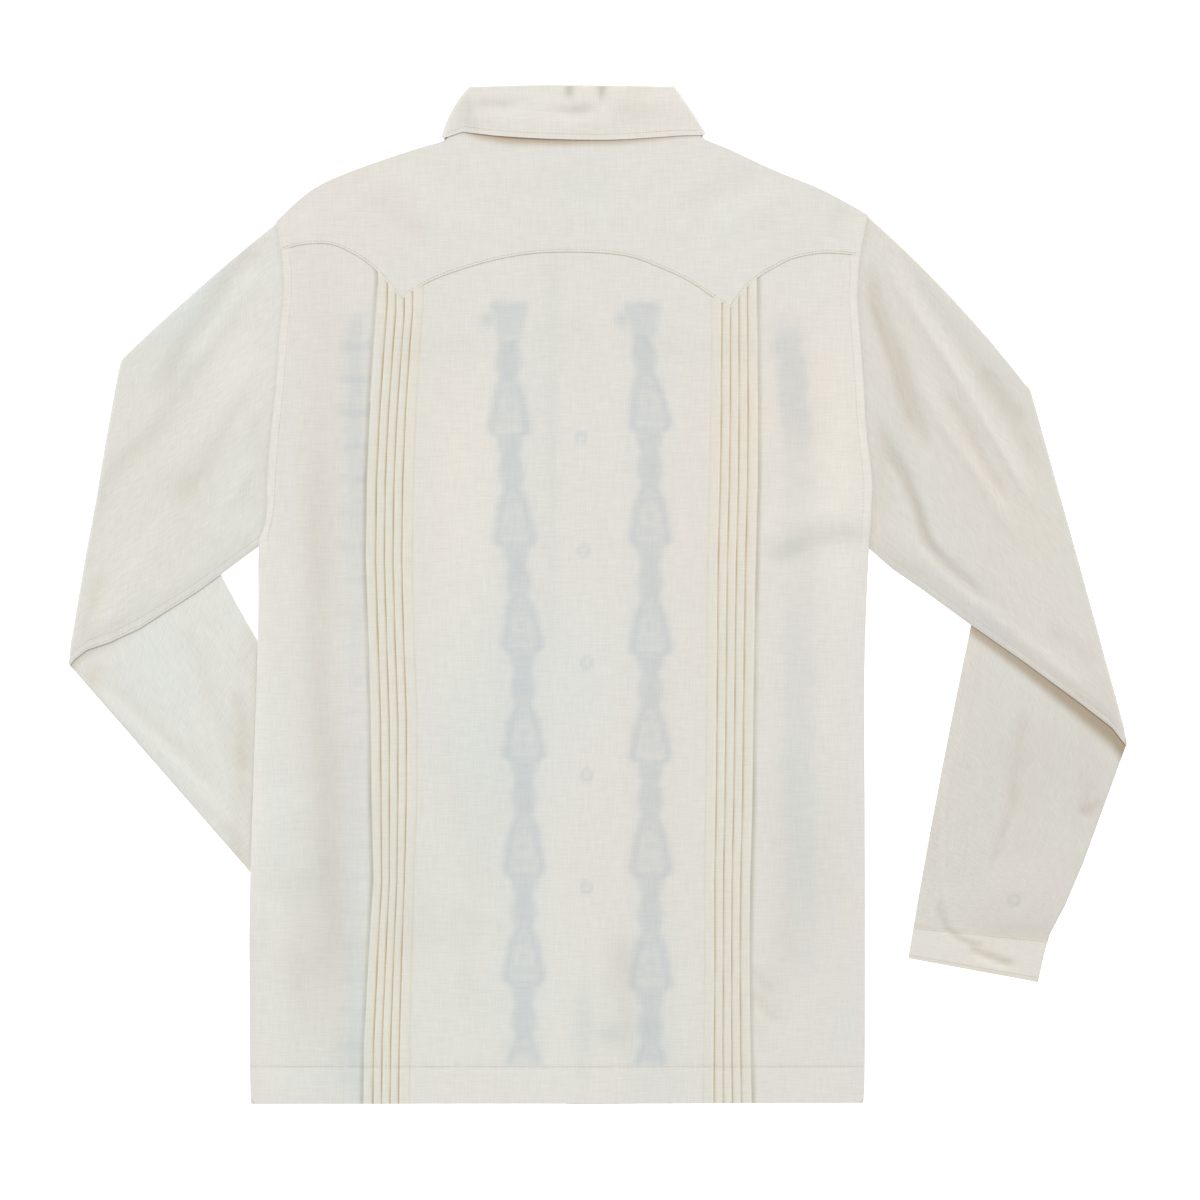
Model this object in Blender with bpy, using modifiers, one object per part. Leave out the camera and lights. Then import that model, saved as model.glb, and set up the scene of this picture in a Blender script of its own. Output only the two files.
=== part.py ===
"""Guayabera shirt, buttoned and laid flat on its front, with both sleeves folded under at the elbow.

Metres and +Z up, with the origin at the middle of the ground it covers. The tables below are in
millimetres: +X is towards the right sleeve as it lies, +Y towards the collar. Every piece is a
cloth wall, a near face and a far face worked out from the tables, so the pieces lie on each
other in the order in which the real ones do: buttons, placket, fronts, back and yoke.
"""

import math

import bpy
import numpy as np

MM = 0.001

# ---------------------------------------------------------------- driving dimensions

WALL = 1.0  # cloth with its seam allowances
GAP = 0.3  # between neighbouring pieces
LEVEL = WALL + GAP  # height of one more layer of cloth

HEM_BAND = 29.0  # turned-up hem
HEM_THICKENING = 0.6
TUCK_COUNT = 5
TUCK_PITCH = 7.4
TUCK_HEIGHT = 1.2  # of a tuck's folded edge over the panel
TUCK_LIP = 0.5  # width of the step at a tuck's edge

BUTTON_DIAMETER = 11.4  # an 18-line button
BUTTON_THICKNESS = 2.0
BUTTON_DISH = 3.7  # radius of the sunk middle
BUTTON_DISH_DEPTH = 0.5
BUTTON_HOLE = 0.9  # radius
BUTTON_HOLE_SPACING = 1.4  # from the middle along both axes
BUTTON_COUNT = 6
BUTTON_PITCH = 89.8
TOP_BUTTON_Y = 214.8

PLACKET_HALF = 16.0
UNDERLAP = 14.0  # the right front runs this far past the centre line
CUFF_DEPTH = 23.0
SLEEVE_BUTTON_ALONG = 0.7925  # share of the way from elbow to cuff edge
SLEEVE_BUTTON_ACROSS = 0.65  # share of the way from the top fold to the underarm

# Heights over the surface that the shirt lies on.
BUTTON_LIFT = BUTTON_THICKNESS + GAP
FOREARM_LIFT = 2 * LEVEL
OVERLAP_LIFT = BUTTON_LIFT + LEVEL
FOLD_AXIS = 2 * LEVEL - GAP / 2  # height of the line that sleeves and collar fold round
OUTER_REACH = 2 * WALL + 1.5 * GAP  # from that line to the outermost face
EDGE_ROUND = 1.2  # the rounded edge of a flattened tube

# Cloth lies level over what is under it and this far past it, then comes down over the slope.
FRONT_REACH = {"forearm": 42.0, "collar": 20.0, "placket": 0.5, "underlap": 2.5}
BACK_REACH = {"forearm": 64.0, "collar": 38.0, "placket": 12.0}
OWN_BUTTON_REACH = 24.0
PANEL_OVER_BUTTON = 16.0  # further past the button, for a panel that lies on the forearm
SLOPE = {"forearm": 38.0, "button": 30.0, "collar": 25.0, "placket": 14.0, "strip end": 30.0}

# ---------------------------------------------------------------- outline tables

# Both edges of the body, from the hem up: the side seams, then the armholes.
# left y, left x, right y, right x
SIDE_SEAMS = [
    (-407.4, -277.5, -406.6, 212.2),
    (-407.4 + HEM_BAND, -278.4, -406.6 + HEM_BAND, 213.4),
    (-265.0, -278.8, -265.0, 213.6),
    (-190.0, -278.0, -190.0, 213.5),
    (-120.0, -276.2, -120.0, 213.2),
    (-60.0, -274.6, -60.0, 213.2),
    (-10.0, -272.8, -10.0, 214.6),
]
ARMHOLES = [
    (39.6, -271.2, 38.0, 216.8),
    (66.0, -266.2, 66.0, 218.4),
    (98.0, -264.2, 92.0, 219.0),
    (132.0, -261.4, 130.0, 214.6),
    (166.0, -257.8, 166.0, 212.4),
    (204.0, -255.0, 202.0, 209.8),
    (242.0, -251.6, 236.0, 207.4),
    (274.8, -253.6, 270.8, 209.6),
]
SLEEVE_HEADS = [(298.0, -257.6, 303.6, 216.0)]

# Shoulder seams, from the sleeve head to the neck point: x, y.
LEFT_SHOULDER = [(-257.6, 298.0), (-228.8, 323.6), (-194.4, 339.6), (-147.2, 355.6), (-121.0, 363.2)]
RIGHT_SHOULDER = [(84.0, 363.6), (105.6, 355.6), (140.0, 339.6), (179.2, 323.6), (216.0, 303.6)]

# Necklines, from left to right: x, y.
BACK_NECK = [
    (-106.0, 376.0), (-98.0, 374.4), (-60.0, 372.6), (-20.0, 371.8),
    (22.0, 372.6), (60.0, 374.4), (68.0, 376.0),
]
LEFT_NECK = [(-106.0, 376.0), (-98.0, 362.0), (-76.0, 330.0), (-50.0, 304.0), (-22.0, 291.0)]
RIGHT_NECK = [(-16.0, 291.0), (12.0, 304.0), (38.0, 330.0), (60.0, 362.0), (68.0, 376.0)]
NECK_GAP = 0.4

# The scalloped seam under the yoke, as rounded stretches between its points: x, y.
YOKE_SCALLOPS = [
    [(-253.6, 274.8), (-236.0, 279.8), (-214.0, 280.0), (-196.0, 272.6), (-180.8, 262.0),
     (-169.6, 250.4), (-157.6, 234.8)],
    [(-157.6, 234.8), (-147.2, 242.8), (-127.2, 253.4), (-92.0, 265.0), (-60.0, 271.6),
     (-33.6, 273.6), (1.6, 273.0), (27.2, 269.6), (48.8, 261.6), (71.2, 251.4),
     (89.6, 239.2), (106.4, 228.8)],
    [(106.4, 228.8), (114.4, 239.8), (125.6, 251.6), (142.4, 262.0), (157.6, 269.0),
     (182.0, 273.0), (209.6, 270.8)],
]

# Innermost stitch line of each band of tucks, at the hem and under the yoke, and the side to
# which its tucks lie: x at hem, x at yoke, side.
TUCK_BANDS = [(-149.4, -139.4, -1), (86.2, 89.4, 1)]

# Line down the middle of the buttoned front, which lies a little askew: y, x.
CENTRE_FRONT = [(-407.4, -9.0), (-60.0, -9.0), (125.0, -13.6), (215.0, -17.0), (295.0, -19.0)]

# Each sleeve's corners: where it folds at the elbow, and its cuff's edge.
# side, elbow top fold, elbow underarm, cuff top fold, cuff underarm, bow of the forearm's edge.
SLEEVES = {
    "left": (-1, (-381.6, 190.0), (-424.6, -56.4), (-140.8, -237.2), (-237.6, -268.4), -16.0),
    "right": (1, (344.8, 167.6), (424.6, -120.4), (248.0, -290.8), (352.0, -310.0), 5.2),
}
UPPER_ARM_ROWS = (0.0, 0.14, 0.28, 0.42, 0.56, 0.7, 0.84, 0.96)
FOREARM_ROWS = (0.06, 0.22, 0.38, 0.52, 0.66, 0.8, 0.9)
BEND_STEPS = 4
COLUMN_SPACING = 42.0  # widest on a body panel
YOKE_ROWS = (0.0, 0.2, 0.45, 0.7, 1.0)

# Large soft ridges of the upper arms: side, share across, start and end along the arm, height.
SLEEVE_RIDGES = [
    ("right", 0.364, 0.05, 1.0, 2.0),
    ("right", 0.643, 0.05, 0.75, 1.2),
    ("left", 0.364, 0.05, 0.95, 1.4),
    ("left", 0.643, 0.10, 0.95, 1.0),
]
RIDGE_HALF_WIDTH = 0.13  # share of the way across

# The collar from its left front end round the back of the neck to its right front end.
# turn (0 behind the neck, 180 in front), then x, y of the top fold, of the fall's free edge and
# of the seam at the neckline.
LEFT_COLLAR_TURN = ((-100.0, 406.0), (-121.6, 366.0), (-106.0, 376.0))
RIGHT_COLLAR_TURN = ((58.4, 406.0), (83.2, 368.8), (68.0, 376.0))
LEFT_COLLAR_LEAF = [
    (180, (-22.0, 311.0), (-70.0, 240.0), (-22.0, 291.0)),
    (180, (-44.0, 334.0), (-88.0, 262.0), (-50.0, 304.0)),
    (180, (-68.0, 361.0), (-104.0, 300.0), (-76.0, 330.0)),
    (180, (-90.0, 392.0), (-118.0, 352.0), (-98.0, 362.0)),
]
COLLAR_BACK = [
    (0, (-96.0, 406.2), (-108.0, 369.8), (-98.0, 374.4)),
    (0, (-50.4, 407.4), (-76.0, 366.2), (-60.0, 372.6)),
    (0, (-20.0, 407.4), (-30.0, 363.8), (-20.0, 371.8)),
    (0, (20.0, 407.0), (16.0, 363.6), (22.0, 372.6)),
    (0, (54.0, 406.2), (66.0, 366.8), (60.0, 374.4)),
]
RIGHT_COLLAR_LEAF = [
    (180, (50.0, 392.0), (79.0, 354.0), (60.0, 362.0)),
    (180, (30.0, 361.0), (66.0, 302.0), (38.0, 330.0)),
    (180, (6.0, 334.0), (50.0, 263.0), (12.0, 304.0)),
    (180, (-16.0, 311.0), (32.0, 240.0), (-16.0, 291.0)),
]
COLLAR_TURN_STEPS = 4
COLLAR_MIDDLE = -20.0
COLLAR_LEAF_REACH = 112.0  # from the collar's middle to either side
COLLAR_LEAF_END = 236.0  # lowest y of the collar's points
STRIP_TOP = 306.0  # the buttoned strip ends below this y

IVORY = (0.74, 0.71, 0.64, 1.0)
PEARL = (0.62, 0.61, 0.58, 1.0)


# ---------------------------------------------------------------- small sums


def along(table, value):
    """The second column of the table where the first has this value, straight between rows."""
    return float(np.interp(value, [row[0] for row in table], [row[1] for row in table]))


def mix(a, b, share):
    return a + (b - a) * share


def mix_points(a, b, share):
    return np.array([mix(a[0], b[0], share), mix(a[1], b[1], share)])


def ease(distance, reach):
    """1 up to distance 0, falling softly to 0 at reach."""
    t = min(max(1.0 - distance / reach, 0.0), 1.0)
    return t * t * (3.0 - 2.0 * t)


def centre_front(y):
    return along(CENTRE_FRONT, y)


def outside_quad(corners, x, y):
    """How far x, y is outside these corners, which go round anticlockwise. Negative inside."""
    furthest = -1e9
    for (ax, ay), (bx, by) in zip(corners, corners[1:] + corners[:1]):
        length = math.hypot(bx - ax, by - ay)
        furthest = max(furthest, ((x - ax) * (by - ay) - (y - ay) * (bx - ax)) / length)
    return furthest


# ---------------------------------------------------------------- how high the layers lie


def forearm_corners(side_name):
    side, elbow_top, elbow_under, cuff_top, cuff_under, _ = SLEEVES[side_name]
    corners = [elbow_top, elbow_under, cuff_under, cuff_top]
    return corners if side < 0 else corners[::-1]


def forearm_point(side_name, share_along, share_across):
    _, elbow_top, elbow_under, cuff_top, cuff_under, _ = SLEEVES[side_name]
    elbow = mix_points(elbow_top, elbow_under, share_across)
    cuff = mix_points(cuff_top, cuff_under, share_across)
    return mix_points(elbow, cuff, share_along)


def sleeve_button_lift(side_name, x, y, flat):
    """How much a sleeve's button raises cloth that stays level this far round it."""
    button = forearm_point(side_name, SLEEVE_BUTTON_ALONG, SLEEVE_BUTTON_ACROSS)
    distance = math.hypot(x - button[0], y - button[1])
    return BUTTON_LIFT * ease(distance - flat, SLOPE["button"])


def over_forearm(side_name, x, y, flat):
    """How much cloth that lies on the folded-under forearm is raised by it."""
    outside = outside_quad(forearm_corners(side_name), x, y)
    raised_by_button = sleeve_button_lift(side_name, x, y, flat + PANEL_OVER_BUTTON)
    return FOREARM_LIFT * ease(outside - flat, SLOPE["forearm"]) + raised_by_button


def over_collar(x, y, flat):
    outside = max(abs(x - COLLAR_MIDDLE) - COLLAR_LEAF_REACH, COLLAR_LEAF_END - y)
    return LEVEL * ease(outside - flat, SLOPE["collar"])


def over_placket(x, y, height, flat):
    across = ease(abs(x - centre_front(y)) - PLACKET_HALF - flat, SLOPE["placket"])
    return height * across * ease(y - STRIP_TOP, SLOPE["strip end"])


def front_height(x, y, strip_height, strip_reach):
    """Underside of a front: the sheet rises over collar leaf, button strip and left forearm."""
    return max(
        over_forearm("left", x, y, FRONT_REACH["forearm"]),
        over_collar(x, y, FRONT_REACH["collar"]),
        over_placket(x, y, strip_height, strip_reach),
    )


def back_height(x, y):
    """Underside of back and yoke: one layer over the fronts, and smoother."""
    return LEVEL + max(
        over_forearm("left", x, y, BACK_REACH["forearm"]),
        over_collar(x, y, BACK_REACH["collar"]),
        over_placket(x, y, OVERLAP_LIFT, BACK_REACH["placket"]),
    )


# ---------------------------------------------------------------- Blender helpers


def start_scene():
    for old in list(bpy.data.objects):
        bpy.data.objects.remove(old, do_unlink=True)
    shirt = bpy.data.collections.new("guayabera_shirt")
    bpy.context.scene.collection.children.link(shirt)
    cutters = bpy.data.collections.new("cutters")
    bpy.context.scene.collection.children.link(cutters)
    return shirt, cutters


def finish(name, colour, roughness):
    material = bpy.data.materials.new(name)
    material.use_nodes = True
    shader = material.node_tree.nodes["Principled BSDF"]
    shader.inputs["Base Color"].default_value = colour
    shader.inputs["Roughness"].default_value = roughness
    shader.inputs["Metallic"].default_value = 0.0
    return material


def grid_faces(rows, columns, start, wrap, turned):
    """Quads of one face of a sheet whose points run row by row from start."""
    faces = []
    for r in range(rows - 1):
        for c in range(columns if wrap else columns - 1):
            after = (c + 1) % columns
            quad = [
                start + r * columns + c,
                start + r * columns + after,
                start + (r + 1) * columns + after,
                start + (r + 1) * columns + c,
            ]
            faces.append(quad[::-1] if turned else quad)
    return faces


def cloth(collection, name, far, near, wrap=False):
    """A closed wall of cloth between two faces, each an array of rows, columns and x, y, z.

    Rows go up and columns to the right as seen from outside the far face. wrap joins the last
    column to the first, as on a tube.
    """
    rows, columns = far.shape[:2]
    points = np.concatenate([far.reshape(-1, 3), near.reshape(-1, 3)]) * MM
    below = rows * columns
    faces = grid_faces(rows, columns, 0, wrap, False) + grid_faces(rows, columns, below, wrap, True)
    rim = [[(r, c) for c in range(columns)] for r in (0, rows - 1)]
    walls = [(rim[0], False), (rim[1], True)]
    if not wrap:
        walls.append(([(r, 0) for r in range(rows)], True))
        walls.append(([(r, columns - 1) for r in range(rows)], False))
    for places, turned in walls:
        closed = places + places[:1] if wrap else places
        for (r0, c0), (r1, c1) in zip(closed, closed[1:]):
            a, b = r0 * columns + c0, r1 * columns + c1
            quad = [b, a, a + below, b + below]
            faces.append(quad[::-1] if turned else quad)
    mesh = bpy.data.meshes.new(name)
    mesh.from_pydata([tuple(p) for p in points], [], faces)
    mesh.validate()
    mesh.shade_smooth()
    mesh.set_sharp_from_angle(angle=math.radians(35))
    mesh.materials.append(finish(name, IVORY, 0.85))
    piece = bpy.data.objects.new(name, mesh)
    collection.objects.link(piece)
    return piece


def wall(plan, underside, thickness):
    """Far and near faces of a panel from its plan points, their height and how thick it is."""
    far = np.dstack([plan, underside + thickness])
    near = np.dstack([plan, underside])
    return far, near


def heights(plan, rule):
    return np.array([[rule(x, y) for x, y in row] for row in plan])


# ---------------------------------------------------------------- body panels


def body_rows(tables):
    return [row for table in tables for row in table]


def spread(knots, spacing, extra):
    """Column places: every knot and extra, and as many between as keep to the spacing."""
    wanted = sorted(set(round(v, 3) for v in list(knots) + list(extra)))
    columns = [wanted[0]]
    for value in wanted[1:]:
        steps = math.ceil((value - columns[-1]) / spacing)
        start = columns[-1]
        columns += [mix(start, value, (i + 1) / steps) for i in range(steps)]
    return columns


def rounded(points, steps):
    """A smooth line through the points, with this many straight pieces between two of them."""
    padded = [points[0]] + list(points) + [points[-1]]
    line = [points[0]]
    for before, start, end, after in zip(padded, padded[1:], padded[2:], padded[3:]):
        for i in range(1, steps + 1):
            t = i / steps
            place = []
            for a, b, c, d in zip(before, start, end, after):
                bend = (2 * a - 5 * b + 4 * c - d) * t * t + (3 * b - a - 3 * c + d) * t ** 3
                place.append(0.5 * (2 * b + (c - a) * t + bend))
            line.append(tuple(place))
    return line


def yoke_seam():
    line = []
    for scallop in YOKE_SCALLOPS:
        line += rounded(scallop, 1)[0 if not line else 1:]
    return line


def tuck_columns():
    """Each tuck's places at the yoke seam with the height of the cloth there."""
    places = []
    for _, at_yoke, side in TUCK_BANDS:
        band = [(at_yoke, 0.0)]
        for fold in range(1, TUCK_COUNT + 1):
            edge = at_yoke + side * fold * TUCK_PITCH
            band.append((edge, TUCK_HEIGHT))
            band.append((edge + side * TUCK_LIP, 0.0))
        places.append(sorted(band))
    return places


def panel_plan(columns, rows, knots_at, top_line, first_bent):
    """Plan points of a body panel.

    columns are x places along its top edge, knots_at(y) gives the x places that the same lines
    have at a lower height, and from row first_bent up the rows bend to meet the top line.
    """
    top_knots = knots_at(rows[-1])
    left_low, right_low = rows[first_bent][0], rows[first_bent][2]
    plan = []
    for index, row in enumerate(rows):
        row_knots = knots_at(row)
        points = []
        for column in columns:
            x = float(np.interp(column, top_knots, row_knots))
            share = (column - SLEEVE_HEADS[0][1]) / (SLEEVE_HEADS[0][3] - SLEEVE_HEADS[0][1])
            y = mix(row[0], row[2], share)
            if index > first_bent:
                low = mix(left_low, right_low, share)
                top = mix(rows[-1][0], rows[-1][2], share)
                y += (along(top_line, column) - top) * (y - low) / (top - low)
            points.append((x, y))
        plan.append(points)
    return np.array(plan)


def back_knots(row):
    """x of the back's side edges, tuck bands and centre strip at the height of this row."""
    y = mix(row[0], row[2], 0.5)
    up = (y - SIDE_SEAMS[0][0]) / (ARMHOLES[-1][0] - SIDE_SEAMS[0][0])
    reach = TUCK_COUNT * TUCK_PITCH + TUCK_LIP
    (left_hem, left_yoke, _), (right_hem, right_yoke, _) = TUCK_BANDS
    left, right = mix(left_hem, left_yoke, up), mix(right_hem, right_yoke, up)
    middle = centre_front(y)
    return [row[1], left - reach, left, middle - 50, middle + 50, right, right + reach, row[3]]


def strip_columns():
    """Columns where back and yoke come down on either side of the buttoned strip."""
    reach = PLACKET_HALF + BACK_REACH["placket"]
    offsets = [reach, reach + SLOPE["placket"] / 2, reach + SLOPE["placket"]]
    middle = centre_front(ARMHOLES[-1][0])
    return [middle + side * offset for side in (-1, 1) for offset in offsets]


def make_back(collection):
    rows = body_rows([SIDE_SEAMS, ARMHOLES])
    seam = [(x, y - GAP) for x, y in yoke_seam()]
    bands = tuck_columns()
    strip = strip_columns()
    tuck_places = [x for band in bands for x, _ in band]
    columns = spread([x for x, _ in seam], COLUMN_SPACING, strip + tuck_places)
    plan = panel_plan(columns, rows, back_knots, seam, len(SIDE_SEAMS))
    tuck_heights = [
        max(float(np.interp(x, [p for p, _ in band], [h for _, h in band])) for band in bands)
        for x in columns
    ]
    thickness = np.full(plan.shape[:2], WALL) + np.array(tuck_heights)[None, :]
    thickness[:2] += HEM_THICKENING
    return cloth(collection, "back_panel", *wall(plan, heights(plan, back_height), thickness))


def top_line():
    neck = [(x, y - NECK_GAP) for x, y in BACK_NECK]
    return LEFT_SHOULDER + neck + RIGHT_SHOULDER


def make_yoke(collection):
    seam, top = yoke_seam(), top_line()
    bands = [x for band in tuck_columns() for x, _ in band]
    seam_left, seam_right = seam[0][0], seam[-1][0]
    top_left, top_right = top[0][0], top[-1][0]

    def on_top(x):
        return mix(top_left, top_right, (x - seam_left) / (seam_right - seam_left))

    corners = [
        mix(seam_left, seam_right, (x - top_left) / (top_right - top_left)) for x, _ in top
    ]
    extra = corners + bands[:1] + bands[-1:] + strip_columns()
    columns = spread([x for x, _ in seam], COLUMN_SPACING, extra)
    plan = []
    for share in YOKE_ROWS:
        row = []
        for x in columns:
            above = (on_top(x), along(top, on_top(x)))
            row.append(mix_points((x, along(seam, x)), above, share))
        plan.append(row)
    plan = np.array(plan)
    thickness = np.full(plan.shape[:2], WALL)
    return cloth(collection, "back_yoke", *wall(plan, heights(plan, back_height), thickness))


def left_front_knots(row):
    middle = centre_front(mix(row[0], row[2], 0.5))
    return [row[1], middle - 70, middle - PLACKET_HALF - GAP]


def placket_knots(row):
    middle = centre_front(mix(row[0], row[2], 0.5))
    return [middle - PLACKET_HALF, middle + PLACKET_HALF]


def right_front_knots(row):
    middle = centre_front(mix(row[0], row[2], 0.5))
    return [middle - UNDERLAP, middle + 70, row[3]]


def make_front(collection, name, knots_at, neck, shoulder, offsets, rule):
    """One front, or its placket, from the hem to its shoulder seam and neckline."""
    rows = body_rows([SIDE_SEAMS, ARMHOLES, SLEEVE_HEADS])
    edge = knots_at(rows[-1])
    top = sorted(shoulder + [(x, y - NECK_GAP) for x, y in neck])
    middle = centre_front(mix(rows[-1][0], rows[-1][2], 0.5))
    extra = [middle + offset for offset in offsets]
    inside = [x for x, _ in top if edge[0] <= x <= edge[-1]]
    columns = spread([edge[0], edge[-1]] + inside, COLUMN_SPACING, extra)
    plan = panel_plan(columns, rows, knots_at, top, len(SIDE_SEAMS))
    thickness = np.full(plan.shape[:2], WALL)
    return cloth(collection, name, *wall(plan, heights(plan, rule), thickness))


def make_fronts(collection):
    make_front(
        collection, "front_left", left_front_knots, LEFT_NECK, LEFT_SHOULDER,
        (-32, -26, -21), lambda x, y: front_height(x, y, BUTTON_LIFT, FRONT_REACH["placket"]),
    )
    make_front(
        collection, "placket", placket_knots, LEFT_NECK, [], (), lambda x, y: BUTTON_LIFT,
    )
    make_front(
        collection, "front_right", right_front_knots, RIGHT_NECK, RIGHT_SHOULDER,
        (19, 23, 27, 34), lambda x, y: front_height(x, y, OVERLAP_LIFT, FRONT_REACH["underlap"]),
    )


# ---------------------------------------------------------------- sleeves


def armhole(side):
    """The armhole from the sleeve head down, and each point's share of the way."""
    at = 0 if side < 0 else 2
    rows = body_rows([ARMHOLES, SLEEVE_HEADS])[::-1]
    points = [(row[at + 1] + side * GAP, row[at]) for row in rows]
    drop = points[0][1] - points[-1][1]
    return [((points[0][1] - y) / drop, (x, y)) for x, y in points]


def ring_places(side):
    """Round a flattened tube: share across, how far in from the edge, and layer.

    It goes along the upper layer from the top fold to the underarm and back along the lower one.
    Layer 1 is the upper and -1 the lower, and 0 is the rounded edge.
    """
    shares = [share for share, _ in armhole(side)][1:-1]
    upper = [(0.0, EDGE_ROUND)] + [(s, 0.0) for s in shares] + [(1.0, -EDGE_ROUND)]
    ring = [(0.0, 0.0, 0)] + [(s, inset, 1) for s, inset in upper]
    ring += [(1.0, 0.0, 0)] + [(s, inset, -1) for s, inset in upper[::-1]]
    return ring


def ridge_height(side_name, across, share_along):
    total = 0.0
    for name, middle, start, end, height in SLEEVE_RIDGES:
        if name == side_name and start < share_along < end:
            swell = math.sin(math.pi * (share_along - start) / (end - start))
            total += height * swell * ease(abs(across - middle), RIDGE_HALF_WIDTH)
    return total


def sleeve_sections(side_name):
    """What the sleeve's rings follow in plan.

    upper and lower give, for a share of the way along upper arm or forearm, the function from a
    share across to a point. on_elbow is that function at the fold, and outward points away from
    the arm there. inset moves such a point in from the tube's edge.
    """
    side, elbow_top, elbow_under, cuff_top, cuff_under, bow = SLEEVES[side_name]
    line = armhole(side)
    across_elbow = np.array(elbow_under) - np.array(elbow_top)
    outward = np.array([-across_elbow[1], across_elbow[0]]) / np.hypot(*across_elbow)
    outward = outward * side
    inner = -outward * OUTER_REACH
    elbow_top, elbow_under = np.array(elbow_top) + inner, np.array(elbow_under) + inner

    def on_armhole(share):
        return np.array([
            np.interp(share, [s for s, _ in line], [p[i] for _, p in line]) for i in (0, 1)
        ])

    def on_elbow(share):
        return mix_points(elbow_top, elbow_under, share)

    def on_cuff(share):
        return mix_points(cuff_top, cuff_under, share)

    def upper(share_along):
        return lambda share: mix_points(on_armhole(share), on_elbow(share), share_along)

    def lower(share_along):
        bulge = outward * (-bow) * 4 * share_along * (1 - share_along)
        return lambda share: (
            mix_points(on_elbow(share), on_cuff(share), share_along) + bulge * (1 - share)
        )

    def inset(place, share, distance):
        """Moves a point in from the tube's edge along the section."""
        nearby = place(min(share + 0.02, 1.0)) - place(max(share - 0.02, 0.0))
        return place(share) + nearby / np.hypot(*nearby) * distance

    return upper, lower, on_elbow, outward, inset


def ring_radius(layer, face):
    """Distance from the fold axis of a layer's outer or inner face."""
    if layer == 0:
        return OUTER_REACH / 2 + GAP / 4
    if layer > 0:
        return OUTER_REACH if face == "outer" else OUTER_REACH - WALL
    return GAP / 2 if face == "outer" else GAP / 2 + WALL


def sleeve_ring(side_name, place, inset, face, kind, value, outward):
    """One ring of the tube, as x, y, z points."""
    side = SLEEVES[side_name][0]
    ring = []
    for share, distance, layer in ring_places(side):
        deeper = 0.0
        if face == "inner":
            at_edge = share in (0.0, 1.0)
            deeper = WALL * (1 if share == 0.0 else -1) if at_edge and layer == 0 else 0.0
            if at_edge and layer != 0:
                deeper = 0.1 * (1 if share == 0.0 else -1) + distance * 0.05
        x, y = inset(place, share, distance + deeper)
        radius = ring_radius(layer, face)
        if kind == "bend":
            x, y = np.array([x, y]) + outward * radius * math.sin(value)
            z = FOLD_AXIS + radius * math.cos(value)
        elif kind == "forearm":
            z = FOLD_AXIS - radius + sleeve_button_lift(side_name, x, y, OWN_BUTTON_REACH)
        else:
            low = over_forearm(side_name, x, y, FRONT_REACH["forearm"])
            high = over_forearm(side_name, x, y, BACK_REACH["forearm"])
            high += ridge_height(side_name, share, value)
            lift = {1: high, 0: mix(low, high, 0.5), -1: low}[layer]
            z = radius - GAP / 2 + lift
        ring.append((x, y, z))
    return ring


def make_sleeve(collection, side_name):
    upper, lower, on_elbow, outward, inset = sleeve_sections(side_name)
    side = SLEEVES[side_name][0]
    elbow_middle, cuff_middle = on_elbow(0.5), lower(1.0)(0.5)
    forearm_length = float(np.hypot(*(cuff_middle - elbow_middle)))
    cuff_start = 1.0 - CUFF_DEPTH / forearm_length
    sleeve_end = cuff_start - GAP / forearm_length

    sections = [(upper(share), "upper", share) for share in UPPER_ARM_ROWS]
    sections += [
        (on_elbow, "bend", math.pi * step / BEND_STEPS) for step in range(BEND_STEPS + 1)
    ]
    sections += [(lower(share), "forearm", share) for share in FOREARM_ROWS if share < sleeve_end]
    sections.append((lower(sleeve_end), "forearm", sleeve_end))
    cuff_sections = [(lower(share), "forearm", share) for share in (cuff_start, 1.0)]

    for name, parts in (("sleeve_", sections), ("cuff_", cuff_sections)):
        faces = []
        for face in ("outer", "inner"):
            rings = [
                sleeve_ring(side_name, place, inset, face, kind, value, outward)
                for place, kind, value in parts
            ]
            faces.append(np.array(rings))
        if side < 0:
            faces = [face[:, ::-1] for face in faces]
        cloth(collection, name + side_name, *faces, wrap=True)


# ---------------------------------------------------------------- collar


def collar_stations():
    left_turn = [
        (180 - 180 * step / COLLAR_TURN_STEPS, *LEFT_COLLAR_TURN)
        for step in range(COLLAR_TURN_STEPS + 1)
    ]
    right_turn = [
        (180 * step / COLLAR_TURN_STEPS, *RIGHT_COLLAR_TURN)
        for step in range(COLLAR_TURN_STEPS + 1)
    ]
    back = COLLAR_BACK
    return LEFT_COLLAR_LEAF + left_turn + back + right_turn + RIGHT_COLLAR_LEAF


def collar_point(station, leaf, distance, radius, side):
    """A point of the collar's section: on its fall or its stand, this far from the top fold."""
    turn, fold, free_edge, neck_seam = station
    start = np.array(fold)
    reach = np.array(free_edge if leaf == "fall" else neck_seam) - start
    length = float(np.hypot(*reach))
    direction = reach / length
    distance = length if distance is None else distance
    outward = np.array([direction[1], -direction[0]]) * (1 if side < 0 else -1)
    angle = math.radians(turn)
    x, y = start + direction * distance + outward * radius * math.sin(angle)
    return x, y, FOLD_AXIS + radius * math.cos(angle)


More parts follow.
